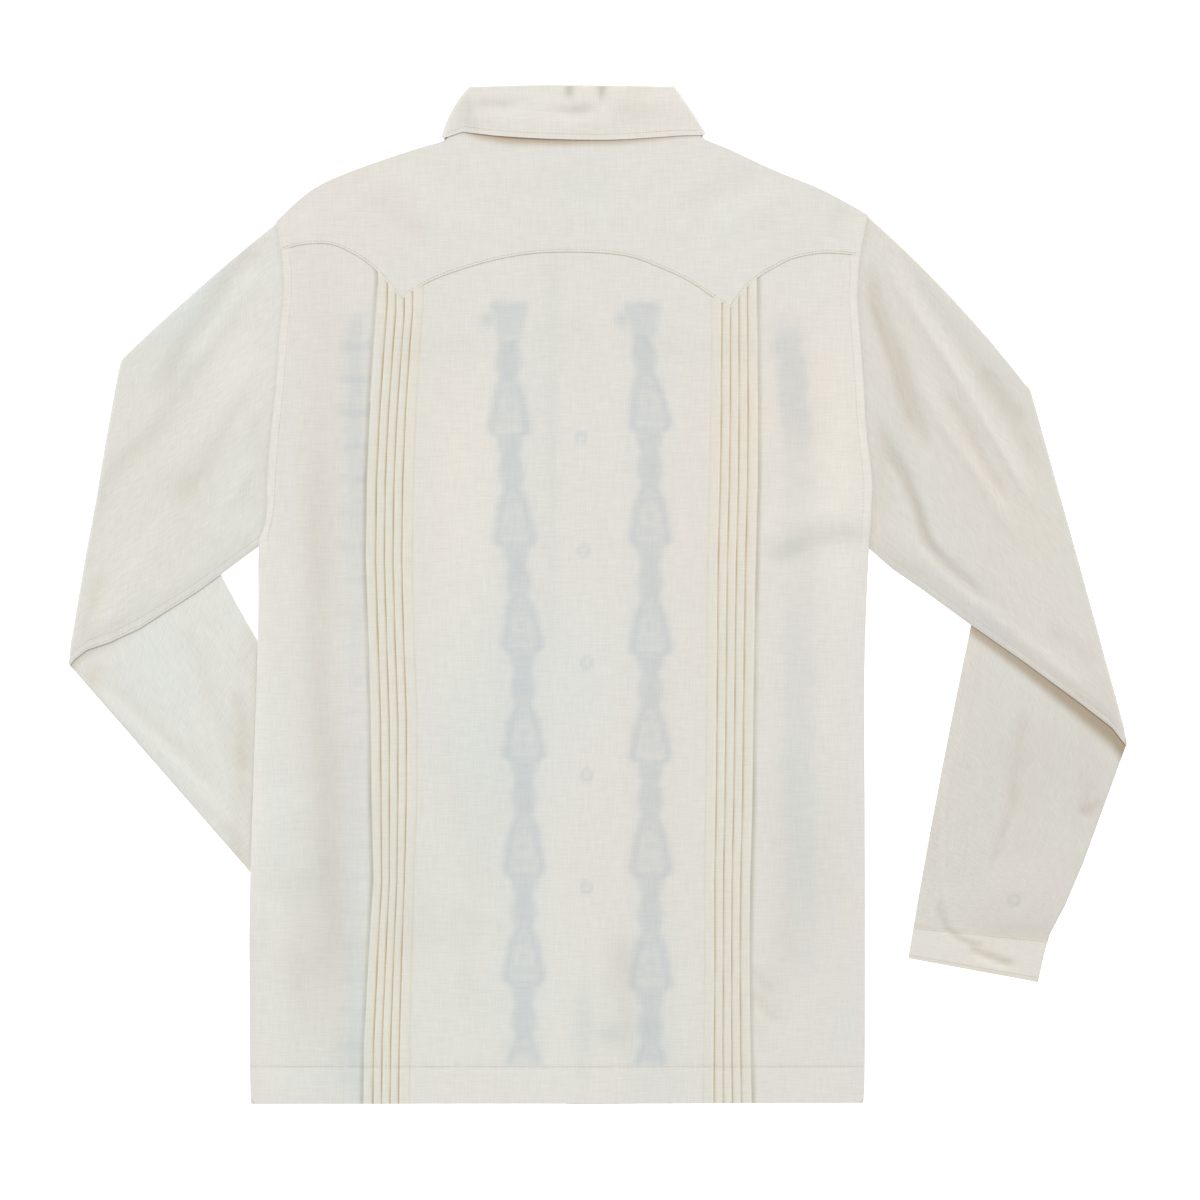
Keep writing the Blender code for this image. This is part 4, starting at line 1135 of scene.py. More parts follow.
def corner_round(plan, radius):
    """Draws in the two lower corners of a panel."""
    x, y = plan[..., 0], plan[..., 1]
    lift = np.zeros_like(y)
    for edge in (x[0, 0], x[0, -1]):
        inward = np.clip(1 - np.abs(x - edge) / radius, 0, 1)
        lift += radius * (1 - np.sqrt(1 - inward ** 2)) * np.clip(1 - (y - y[0:1]) / (radius * 2), 0, 1)
    plan[..., 1] = y + lift
    return plan


class GUAYABERA_OT_back(Operator):
    """The back: one panel with two bands of five tucks, a turned hem and the tone of what lies behind it"""

    bl_idname = "guayabera.back"
    bl_label = "Back panel"

    def execute(self, context):
        settings = context.scene.guayabera_sewing
        cloth = context.scene.guayabera_cloth
        rows = fine_rows(SIDE_SEAMS + ARMHOLES, settings.panel_rows)
        places = back_columns(body_knots(rows[-1]))
        columns, number, share, lift = places.T
        seam = [(x, y + 3.0) for x, y in yoke_seam()]
        plan = corner_round(panel_points(columns, rows, body_knots, seam, 20.0), 4.5)
        x, y = plan[..., 0], plan[..., 1]
        left_x, right_x = rows[:, 1:2], rows[:, 3:4]
        depth = settings.tuck_height / MM
        uneven = 1.0 + 0.22 * np.sin(y / 23.0 + columns * 0.7) + 0.15 * np.sin(y / 9.0 + columns)
        creases = draped_folds(x, y)
        z = BACK_LEVEL + back_rise(x, y) + lift * depth * uneven + creases
        z += HEM_STEP * ease(y - HEM_Y, 0.8)
        z += seam_raise(x, y, left_x, right_x) * rise(y, 20.0, 40.0)
        side_edge = np.minimum(x - left_x, right_x - x)
        z -= 0.5 * ease(side_edge, 5.0)
        fronts = np.maximum(left_front_top(x, y), right_front_top(x, y))
        z = np.maximum(z, fronts + CREASE_CLEARANCE)
        tint = tones(x, y, BODY_TONES_AND_SHADE) * crease_shade_and_light(creases)
        seen = show_through(x, y) * np.where(number >= 0, 0.25, 1.0) * (1 - 0.25 * (y < HEM_Y))
        tint *= shaded(cloth.show_through, seen)
        tint *= self.tuck_tone_shade_and_highlight(y, columns, number, share, cloth)
        tint *= shaded(SHADE_BESIDE_TUCKS, self.beside_band(x, y))
        at_hem = 0.004 * ease(y - HEM_Y, 1.0)
        tint *= (1.0 + at_hem - 0.05 * line_of(y - HEM_Y - 2.0, 0.6))[..., None]
        at_armhole = ease(np.abs(side_edge - 4.0) - 2.6, 1.2) * rise(y, 20.0, 40.0)
        tint *= 1.0 + 0.035 * at_armhole[..., None]
        over_forearm = ease(x - left_x, 12.0) * ease(y - 10.0, 20.0) * rise(y, -290.0, -230.0)
        tint *= 1.0 + 0.05 * over_forearm[..., None]
        piece = sheet("back", np.dstack([plan, z]), plan, tint, cloth_material("Ivory cloth"))
        hand_over(piece, "cloth", "back_panel")
        lines = [[(px, py, pz + STITCH_RISE) for px, py, pz in self.row_at(plan, z, HEM_Y + HEM_STITCH)]]
        for edge, side in ((0, 1), (-1, -1)):
            lines.append(self.armhole_line(plan, z, rows, edge, side))
        stitched("stitches_back", lines)
        return {"FINISHED"}

    def tuck_tone_shade_and_highlight(self, y, columns, number, share, cloth):
        """Share of light left on the tucks: painted shadow in the slit where the next one covers it, a
        painted highlight on the folded edge, and the tucks' own tone.
        """
        slit = np.where(number >= 1, ease(share * TUCK_PITCH - 0.4, 1.45), 0.0)
        slit = np.where(number == 0, 0.2 * ease(share * TUCK_PITCH, 1.2), slit)
        edge = np.where(number >= 0, ease((1 - share) * TUCK_PITCH - 0.2, 1.2), 0.0)
        patches = 0.24 * np.sin(y / 37.0 + columns * 0.45) * np.sin(y / 11.0 + columns)
        patchy = np.where(columns < 0, 0.92, 0.78) + patches
        tone = shaded(cloth.fold_shade, slit[None, :] * patchy) * shaded(TUCK_EDGE_HIGHLIGHT, edge[None, :])
        return np.where((number >= 0)[None, :, None], tone * TUCK_FACE, 1.0)

    def beside_band(self, x, y):
        """Soft shade outside the outermost tuck of each band."""
        _, left_edge, _, right_edge = tuck_bands(y)
        gap = np.maximum(left_edge - x, x - right_edge)
        uneven = 0.8 + 0.15 * np.sin(y / 41.0) + 0.08 * np.sin(y / 13.0 + 1.0)
        return np.where(gap > 0, ease(gap - 0.6, 4.6) ** 1.3, 0.0) * uneven

    def row_at(self, plan, z, height):
        """The line across the panel at this height."""
        line = []
        for column in range(plan.shape[1]):
            ys = plan[:, column, 1]
            line.append([
                np.interp(height, ys, plan[:, column, 0]), height, np.interp(height, ys, z[:, column]),
            ])
        return line

    def armhole_line(self, plan, z, rows, edge, side):
        """Topstitching beside an armhole."""
        line = []
        for index in np.nonzero(rows[:, 0] > 42.0)[0]:
            xs = plan[index, :, 0]
            x = xs[edge] + side * ARMHOLE_STITCH
            height = np.interp(x, xs, z[index]) + STITCH_RISE
            line.append([x, np.interp(x, xs, plan[index, :, 1]), height])
        return line[:-2]


class GUAYABERA_OT_yoke(Operator):
    """The yoke: its scalloped lower edge lies over the back and is edge-stitched"""

    bl_idname = "guayabera.yoke"
    bl_label = "Back yoke"

    def execute(self, context):
        seam = np.array(yoke_seam())
        top = rounded(LEFT_SHOULDER, 4) + rounded(neck_line(BACK_NECK), 3) + rounded(RIGHT_SHOULDER, 4)
        top = np.array(top)
        columns = np.array(evenly(seam[0, 0], seam[-1, 0], 2.3) + [seam[-1, 0]])
        shares = np.concatenate([[0.0, 0.004, 0.009, 0.017, 0.03], np.linspace(0.06, 1.0, 62)])
        stretch = (columns - columns[0]) / (columns[-1] - columns[0])
        top_x = mix(top[0, 0], top[-1, 0], stretch)
        top_y = np.interp(top_x, top[:, 0], top[:, 1])
        seam_y = np.interp(columns, seam[:, 0], seam[:, 1])
        plan = np.empty((len(shares), len(columns), 2))
        plan[..., 0] = mix(columns[None, :], top_x[None, :], shares[:, None])
        plan[..., 1] = mix(seam_y[None, :], top_y[None, :], shares[:, None])
        x, y = plan[..., 0], plan[..., 1]
        z = self.height(x, y)
        above_seam = y - seam_y[None, :]
        z = z - 0.06 * ease(above_seam, 0.8) + 0.06 * ease(np.abs(above_seam - 1.6) - 0.8, 1.5)
        side_edge = np.minimum(x - x[:, :1], x[:, -1:] - x)
        z -= 0.85 * ease(side_edge, 5.0)
        tint = tones(x, y, YOKE_TONES) * crease_shade_and_light(draped_folds(x, y))
        # Painted highlight about 1.2 mm above the seam on the yoke's folded edge, painted shade right at the
        # seam, and a faint darker line about 2.4 mm up.
        tint *= 1.0 + 0.05 * ease(np.abs(above_seam - 1.2) - 0.3, 0.8)[..., None]
        tint *= shaded(YOKE_SEAM_SHADE, ease(above_seam, 0.75))
        tint *= 1.0 - 0.02 * ease(np.abs(above_seam - 2.4) - 0.5, 0.9)[..., None]
        tint *= 1.0 + 0.03 * ease(np.abs(side_edge - 4.0) - 2.6, 1.2)[..., None]
        tint *= self.collar_shade(x, y)
        piece = sheet("yoke", np.dstack([plan, z]), plan, tint, cloth_material("Ivory cloth"))
        hand_over(piece, "cloth", "back_yoke")
        edge = []
        for step in range(1, len(seam) - 1):
            ahead = seam[step + 1] - seam[step - 1]
            aside = np.array([-ahead[1], ahead[0]]) / np.hypot(*ahead)
            px, py = seam[step] + aside * YOKE_STITCH
            edge.append([px, py, float(self.height(np.array(px), np.array(py))) + 0.24])
        lines = [edge]
        for at, side in ((0, 1), (-1, -1)):
            lines.append([
                [x[row, at] + side * ARMHOLE_STITCH, y[row, at], z[row, at] + 0.1]
                for row in range(6, len(shares) - 2)
            ])
        stitched("stitches_yoke", lines)
        return {"FINISHED"}

    def height(self, x, y):
        return BACK_LEVEL + YOKE_STEP + back_rise(x, y) + draped_folds(x, y)

    def collar_shade(self, x, y):
        """Share of light left under the collar's free edge, deepest left of its middle."""
        edges = [LEFT_COLLAR_TURN[1]] + [row[2] for row in COLLAR_BACK] + [RIGHT_COLLAR_TURN[1]]
        reach = along(COLLAR_SHADE_REACH, x)
        depth = along(COLLAR_SHADE_DEPTH, x)
        below = along(edges, x) - y
        shade = depth * ease(below - 0.1 * reach, 0.9 * reach) ** 1.5
        return shaded(COLLAR_SHADOW, shade)


# ---------------------------------------------------------------- fronts


def front_panel(name, node, knots_at, top, spacing, row_count, height, embroidered):
    """One piece of the front, face down, with any embroidery worked through it."""
    rows = fine_rows(SIDE_SEAMS + ARMHOLES + SLEEVE_HEADS, row_count)
    edge = knots_at(rows[-1])
    columns = np.array(evenly(edge[0], edge[-1], spacing) + [edge[-1]])
    plan = panel_points(columns, rows, knots_at, sorted(top), 20.0)
    x, y = plan[..., 0], plan[..., 1]
    worked = embroidery(x, y) if embroidered else np.zeros(x.shape)
    z = height(x, y) + 0.18 * worked
    settings = bpy.context.scene.guayabera_cloth
    thread = np.array(settings.embroidery) / np.array(settings.colour)
    tint = shaded(thread, worked ** 0.7)
    piece = sheet(name, np.dstack([plan, z]), plan, tint, cloth_material("Ivory cloth"))
    hand_over(piece, "cloth", node)


def neck_line(neck):
    """The neckline, drawn in under the collar's seam."""
    return [(x, y - 0.4) for x, y in neck]


def left_front_knots(row):
    middle = centre_front((row[0] + row[2]) / 2)
    return [row[1], middle - 70, middle - PLACKET_HALF - 0.4]


def placket_knots(row):
    middle = centre_front((row[0] + row[2]) / 2)
    return [middle - PLACKET_HALF, middle + PLACKET_HALF]


def right_front_knots(row):
    middle = centre_front((row[0] + row[2]) / 2)
    return [middle - UNDERLAP, middle + 70, row[3]]


def left_front_top(x, y):
    strip = (PLACKET_TOP - FRONT_LEVEL) * over_strip(x, y, 17.0, 30.0)
    return np.maximum(front_top(x, y), FRONT_LEVEL + strip)


def right_front_top(x, y):
    strip = (UNDERLAP_TOP - FRONT_LEVEL) * over_strip(x, y, 17.5, 30.0)
    return np.maximum(front_top(x, y), FRONT_LEVEL + strip)


def placket_top(x, y):
    return np.full(x.shape, PLACKET_TOP)


class GUAYABERA_OT_fronts(Operator):
    """Both fronts and the placket, under the back, with two inner and two outer bands of embroidery"""

    bl_idname = "guayabera.fronts"
    bl_label = "Fronts and placket"

    def execute(self, context):
        front_panel(
            "front_with_placket", "front_left", left_front_knots, LEFT_SHOULDER + neck_line(LEFT_NECK),
            3.0, 190, left_front_top, True,
        )
        front_panel(
            "front_with_buttons", "front_right", right_front_knots, RIGHT_SHOULDER + neck_line(RIGHT_NECK),
            3.0, 190, right_front_top, True,
        )
        front_panel(
            "placket_band", "placket", placket_knots, neck_line(LEFT_NECK), 2.0, 150, placket_top, False,
        )
        return {"FINISHED"}


# ---------------------------------------------------------------- sleeves


def armhole_points(side):
    """Places down the armhole from the sleeve head, by share."""
    at = 0 if side < 0 else 2
    rows = rounded((ARMHOLES + SLEEVE_HEADS)[::-1], 6)
    points = np.array([(row[at + 1] - side * 1.5, row[at]) for row in rows])
    drop = points[0, 1] - points[-1, 1]
    return (points[0, 1] - points[:, 1]) / drop, points


def across_places(width, edge, spacing):
    """Shares across a flattened tube of this width, close together at its rounded edges."""
    near = [0.0, 0.25, 0.8, edge]
    inner = evenly(edge, width - edge, spacing)
    far = [width - edge, width - 0.8, width - 0.25, width]
    return np.array(near[:-1] + inner + far) / width


class SleeveForm:
    """Where the points of one sleeve lie."""

    EDGE = 1.9
    ARM_ROWS = 120
    BEND_ROWS = 7
    FOREARM_ROWS = 112
    CUFF_ROWS = 15

    def __init__(self, side_name):
        side, top, under, cuff_top, cuff_under, self.bow, self.top_bow = SLEEVES[side_name]
        self.side_name = side_name
        self.side = side
        across = np.array(under) - np.array(top)
        self.width = float(np.hypot(*across))
        self.outward = np.array([-across[1], across[0]]) / self.width * side
        self.elbow_top = np.array(top) - self.outward * ELBOW_INSET
        self.elbow_under = np.array(under) - self.outward * ELBOW_INSET
        self.cuff_top, self.cuff_under = np.array(cuff_top), np.array(cuff_under)
        middle = (self.cuff_top + self.cuff_under - self.elbow_top - self.elbow_under) / 2
        self.length = float(np.hypot(*middle))
        self.head_share, self.head = armhole_points(side)
        self.shares = across_places(self.width, self.EDGE, 4.6)
        self.corners = forearm_corners(side_name)

    def elbow(self, share):
        return mix(self.elbow_top, self.elbow_under, share[..., None])

    def aside(self, start, end, way):
        """Square to the line from start to end, pointing up or down."""
        line = np.array(end) - np.array(start)
        off = np.array([-line[1], line[0]]) / np.hypot(*line)
        return off if off[1] * way > 0 else -off

    def upper(self, along_arm, share):
        """Plan of the upper arm. Its top edge bows out a little, and its underarm edge is uneven."""
        head = np.stack([np.interp(share, self.head_share, self.head[:, i]) for i in (0, 1)], axis=-1)
        place = mix(head, self.elbow(share), along_arm)
        bow = self.top_bow * 4 * along_arm * (1 - along_arm)
        bulge = float(along(UNDERARM_EDGES[self.side_name], along_arm))
        place = place + self.aside(self.head[0], self.elbow_top, 1) * bow * ((1 - share) ** 2)[..., None]
        return place + self.aside(self.head[-1], self.elbow_under, -1) * bulge * (share ** 3)[..., None]

    def lower(self, along_arm, share):
        """Plan of the forearm, whose edges are curved too. Both values can differ from point to point."""
        along_arm = np.broadcast_to(along_arm, share.shape)
        cuff = mix(self.cuff_top, self.cuff_under, share[..., None])
        bow = -self.bow * 4 * along_arm * (1 - along_arm) * (1 - share)
        across = self.cuff_under - self.cuff_top
        across = across / np.hypot(*across)
        edge = along(FOREARM_EDGES[self.side_name], along_arm) * share ** 3
        place = mix(self.elbow(share), cuff, along_arm[..., None])
        return place + self.outward * bow[..., None] + across * edge[..., None]

    def cuff_seam(self, share):
        """Share of the forearm's length at which the cuff starts."""
        run = mix(self.cuff_top, self.cuff_under, share[..., None]) - self.elbow(share)
        return 1.0 - (CUFF_DEPTH + CUFF_FLARE * share) / np.hypot(run[..., 0], run[..., 1])

    def roundness(self, share):
        """How far the two layers are apart, 0 at the edges."""
        distance = np.minimum(share, 1 - share) * self.width
        t = np.clip(1 - distance / self.EDGE, 0, 1)
        return np.sqrt(1 - t * t)

    def elbow_roundness(self, share):
        """How far the elbow's fold stands out, 0 at its two ends."""
        at_top, at_under = ELBOW_CORNERS[self.side_name]
        t = np.clip(1 - share * self.width / at_top, 0, 1)
        u = np.clip(1 - (1 - share) * self.width / at_under, 0, 1)
        return np.sqrt((1 - t * t) * (1 - u * u))

    def shade(self):
        """The tone of this sleeve's cloth against the body's."""
        return np.array(SLEEVE_TONES[self.side_name])

    def arm_folds(self, x, y):
        return folds(x, y, RIGHT_ARM_FOLDS if self.side > 0 else LEFT_ARM_FOLDS)

    def forearm_folds(self, x, y):
        """Creases of the forearm, none where it's covered."""
        shown = 1 - ease(outside_quad(self.covered(), x, y), 10.0)
        return folds(x, y, RIGHT_FOREARM_FOLDS if self.side > 0 else LEFT_FOREARM_FOLDS) * shown

    def arm_heights(self, x, y, share, along_arm):
        """Top and bottom of the upper arm."""
        outside = outside_quad(self.corners, x, y)
        low = SURFACE_GAP + ARM_OVER_FOREARM * ease(outside - 30.0, 38.0)
        high = BACK_LEVEL + 0.3 + ARM_OVER_FOREARM * ease(outside - 50.0, 44.0)
        high = high + 0.8 * np.sin(np.pi * np.clip(share, 0, 1)) * rise(along_arm, 0.0, 0.3)
        high = high + self.arm_folds(x, y)
        open_elbow = rise(along_arm, 0.45, 0.95) * rise(share, 0.6, 1.0)
        puff = (0.35 if self.side > 0 else 0.2) * open_elbow * ease(along_arm - 0.97, 0.06)
        from_seam = along_arm * ARM_LENGTH
        at_body = BACK_LEVEL + back_rise(x, y) - 0.8 + 0.4 * rise(from_seam, 1.5, 6.0)
        high = mix(high + puff, at_body, ease(from_seam - 2.0, 30.0))
        low = low + puff * 0.9
        thin = ease((1 - share) * self.width - 1.0, 20.0)
        high = mix(high, low + LEAST_SLEEVE, thin)
        return np.maximum(high, low + LEAST_SLEEVE), low

    def forearm_heights(self, x, y):
        """Top and bottom of the forearm, which lies under the upper arm and the body."""
        lift = button_rise(self.side_name, x, y, 8.0)
        low = SURFACE_GAP + lift
        top = FOREARM_TOP + lift + self.forearm_folds(x, y)
        return np.maximum(top, low + LEAST_SLEEVE), low

    def covered(self):
        """Corners of what covers the forearm, anticlockwise."""
        if self.side > 0:
            return [(216.0, 38.0), (424.0, -120.0), (345.0, 168.0), (216.0, 303.0)]
        return [(-272.0, -400.0), (200.0, -400.0), (200.0, 100.0), (-272.0, 100.0)]

    def ring(self, place, high, low, share):
        """Both layers of one row: the upper one, then the lower one."""
        middle, half = (high + low) / 2, (high - low) / 2
        opened = half * self.roundness(share)
        upper = np.concatenate([place, (middle + opened)[:, None]], axis=1)
        lower = np.concatenate([place, (middle - opened)[:, None]], axis=1)
        return upper, lower

    def forearm_ring(self, along_arm, share):
        place = self.lower(along_arm, share)
        high, low = self.forearm_heights(place[:, 0], place[:, 1])
        return self.ring(place, high, low, share)

    def row(self, kind, value):
        """One row: the layer that is on top at the shoulder, then the other one."""
        share = self.shares
        if kind == "upper":
            place = self.upper(value, share)
            high, low = self.arm_heights(place[:, 0], place[:, 1], share, value)
            return self.ring(place, high, low, share)
        if kind == "forearm":
            return self.forearm_ring(value * self.cuff_seam(share), share)[::-1]
        if kind == "cuff":
            return self.forearm_ring(mix(self.cuff_seam(share), 1.0, value), share)[::-1]
        start, end = self.row("upper", 1.0), self.row("forearm", 0.0)
        stand = self.elbow_roundness(share)
        layers = []
        for before, after in zip(start, end):
            radius = (before[:, 2] - after[:, 2]) / 2
            place = before.copy()
            place[:, :2] += self.outward * (np.abs(radius) * math.sin(value) * stand)[:, None]
            place[:, 2] = (before[:, 2] + after[:, 2]) / 2 + radius * math.cos(value)
            layers.append(place)
        return layers[0], layers[1]

    def points(self, sections):
        """Rows round the tube. The last column lies on the first one, so that the tube closes."""
        rings = []
        for kind, value in sections:
            first, second = self.row(kind, value)
            ring = np.concatenate([first, second[-2::-1]])
            ring[-1] = ring[0]
            rings.append(ring)
        rings = np.array(rings)
        return rings[:, ::-1] if self.side < 0 else rings

    def uv(self, sections):
        """Place in the cut cloth: round the sleeve and along it."""
        round_it = np.concatenate([self.shares, 2.0 - self.shares[-2::-1]]) * self.width
        forearm = self.length - CUFF_DEPTH
        below = ARM_LENGTH + ELBOW_FOLD
        starts_and_scales = {
            "upper": (0.0, ARM_LENGTH), "bend": (ARM_LENGTH, ELBOW_FOLD / math.pi),
            "forearm": (below, forearm), "cuff": (below + forearm, CUFF_DEPTH),
        }
        along_it = []
        for kind, value in sections:
            start, scale = starts_and_scales[kind]
            along_it.append(start + scale * value)
        u, v = np.meshgrid(round_it, along_it)
        uv = np.dstack([u, v])
        return uv[:, ::-1] if self.side < 0 else uv

    def under_shade(self, x, y):
        """Depth of the shade that the upper arm's underarm edge casts on the forearm."""
        edge = np.array([self.upper(value, np.array([1.0]))[0] for value in np.linspace(0, 1, 60)])
        order = np.argsort(edge[:, 0])
        slope = (edge[-1, 1] - edge[0, 1]) / (edge[-1, 0] - edge[0, 0])
        below = (np.interp(x, edge[order, 0], edge[order, 1]) - y) / math.hypot(1.0, slope)
        near = np.clip((x - edge[0, 0]) / (edge[-1, 0] - edge[0, 0]), 0, 1)
        beyond = ease(np.abs((x - edge[:, 0].mean()) / np.ptp(edge[:, 0])) - 0.5, 0.02)
        if self.side > 0:
            reach, depth = 6.0 + 13.0 * near ** 1.7, 0.75 + 0.3 * near
        else:
            reach, depth = 2.4 + 6.0 * near ** 5, 0.1 + 0.5 * near ** 5
        return depth * beyond * np.where(below > -3.0, ease(below - 0.3 * reach, 0.7 * reach), 0.0)


# Soft blots on the upper arms, x, y, half width, half height, red, green and blue taken off: tones of the
# cloth, and painted shade in folds and beside the armhole.
UPPER_ARM_TONES_AND_SHADE = {
    "right": [
        (242, 150, 9, 60, 0.03, 0.035, 0.045), (300, -2, 46, 30, 0.02, 0.02, -0.01),
        (400, -88, 30, 26, 0.035, 0.045, 0.055), (360, 60, 40, 60, 0.0, 0.0, 0.01),
        (226, 90, 7, 50, 0.03, 0.045, 0.065), (312, -30, 26, 16, 0.04, 0.04, 0.0),
    ],
    "left": [
        (-330, 190, 22, 60, 0.02, 0.01, 0.005), (-366, 120, 20, 40, 0.01, 0.02, 0.03),
        (-326, 84, 14, 20, 0.02, 0.03, 0.045), (-404, 0, 8, 60, 0.01, 0.02, 0.035),
        (-330, 250, 60, 50, 0.03, 0.008, -0.022), (-264, 90, 8, 60, 0.03, 0.045, 0.07),
        (-334, 100, 40, 44, 0.014, 0.010, 0.010), (-360, -20, 40, 44, 0.014, 0.0, -0.006),
    ],
}
# The same for the forearms: tones of the cloth, and painted shade beside the body's edge, in small folds and
# over the cuff's seam.
FOREARM_TONES_AND_SHADE = {
    "right": [
        (360, -130, 60, 40, 0.03, 0.035, 0.04), (330, -220, 90, 120, 0.03, 0.035, 0.035),
        (300, -60, 20, 50, 0.02, 0.02, 0.02), (392, -150, 14, 34, 0.0, 0.03, 0.045),
        (393, -172, 9, 6, 0.07, 0.085, 0.09), (342, -268, 34, 6, 0.05, 0.05, 0.045),
    ],
    "left": [
        (-284, -138, 10, 44, 0.07, 0.09, 0.13), (-290, -214, 10, 20, 0.05, 0.07, 0.10),
        (-404, -66, 9, 12, 0.06, 0.09, 0.13), (-281, -40, 6, 26, 0.04, 0.06, 0.09),
    ],
}


class GUAYABERA_OT_sleeves(Operator):
    """Both sleeves, each one tube folded under at the elbow, with a seamed cuff"""

    bl_idname = "guayabera.sleeves"
    bl_label = "Sleeves and cuffs"

    def execute(self, context):
        for side_name in SLEEVES:
            form = SleeveForm(side_name)
            sections = [("upper", value) for value in np.linspace(0, 1, form.ARM_ROWS) ** 1.08]
            sections += [("bend", math.pi * i / (form.BEND_ROWS + 1)) for i in range(1, form.BEND_ROWS + 1)]
            sections += [("forearm", value) for value in np.linspace(0, 1, form.FOREARM_ROWS)]
            points = form.points(sections)
            tint = self.tint(form, points, sections)
            material = cloth_material("Ivory sleeve cloth", 0.19, 0.05)
            piece = sheet(f"sleeve_tube_{side_name}", points, form.uv(sections), tint, material, tube=True)
            hand_over(piece, "cloth", f"sleeve_{side_name}")
            self.cuff(form, side_name)
            self.seams(form, side_name)
        return {"FINISHED"}

    def tint(self, form, points, sections):
        x, y = points[..., 0], points[..., 1]
        is_arm = np.array([kind == "upper" for kind, _ in sections])[:, None, None]
        arm = tones(x, y, UPPER_ARM_TONES_AND_SHADE[form.side_name]) * crease_shade_and_light(form.arm_folds(x, y)) * form.shade()
        value = np.array([value if kind == "upper" else 1.0 for kind, value in sections])[:, None]
        # Painted shade on the sleeve beside the armhole seam.
        shade_by_armhole = ease(value * 250.0 - 1.0, 9.0)
        arm = arm * shaded(ARMHOLE_SHADE, shade_by_armhole)
        fore = self.forearm_tint(form, x, y)
        return np.where(is_arm, arm, fore)

    def forearm_tint(self, form, x, y):
        cloth = bpy.context.scene.guayabera_cloth
        fore = tones(x, y, FOREARM_TONES_AND_SHADE[form.side_name]) * crease_shade_and_light(form.forearm_folds(x, y))
        fore = fore * form.shade()
        # Painted shadow cast by the upper arm's underarm edge.
        fore = fore * shaded(UNDERARM_SHADOW, form.under_shade(x, y))
        if form.side < 0:
            fore = fore * LEFT_FOREARM_TONE
            # Painted shade where the left forearm goes under the body's edge.
            shade_by_body = ease(-273.0 - x, 8.0) * rise(y, -240.0, -200.0)
            return fore * shaded(BODY_EDGE_SHADE, shade_by_body)
        ring = button_ring(x, y, "sleeve_button_right", 0.72)
        return fore * shaded(cloth.show_through, ring)

    def cuff(self, form, side_name):
        """The cuff: a doubled band over the end of the sleeve. Its topstitching at both edges comes from
        seams.
        """
        sections = [("cuff", value) for value in np.linspace(-0.03, 1.0, form.CUFF_ROWS)]
        points = form.points(sections)
        swell = np.sin(np.linspace(0.12, math.pi, len(sections)))[:, None] ** 0.5 * 0.16 + 0.1
        middle = points[..., 2].mean(axis=1, keepdims=True)
        points[..., 2] += np.where(points[..., 2] > middle, swell, 0.0)
        x, y = points[..., 0], points[..., 1]
        tint = form.shade() * CUFF_TONE * crease_shade_and_light(2.2 * form.forearm_folds(x, y))
        # Painted shade along the cuff's seam.
        tint[:2] *= CUFF_SEAM_SHADE
        tint[-1:] *= CUFF_EDGE_TONE
        piece = sheet(
            f"cuff_band_{side_name}", points, form.uv(sections), tint, cloth_material("Ivory cloth"),
            tube=True, thickness=0.6,
        )
        hand_over(piece, "cloth", f"cuff_{side_name}")

    def seams(self, form, side_name):
        """Felled underarm seam on the upper arm, and the cuff's topstitching."""
        lines = []
        for inset in UNDERARM_STITCHES:
            at = np.array([1.0 - inset / form.width])
            line = []
            for value in np.linspace(0.02, 0.98, 90):
                place = form.upper(value, at)
                high, low = form.arm_heights(place[:, 0], place[:, 1], at, value)
                upper, _ = form.ring(place, high, low, at)
                line.append([upper[0, 0], upper[0, 1], upper[0, 2] + 0.1])
            lines.append(line)
        share = form.shares
        for value in CUFF_STITCHES:
            upper, _ = form.forearm_ring(mix(form.cuff_seam(share), 1.0, value), share)
            lines.append([[p[0], p[1], p[2] + 0.36] for p in upper[3:-3]])
        stitched(f"stitches_sleeve_{side_name}", lines)


# ---------------------------------------------------------------- collar


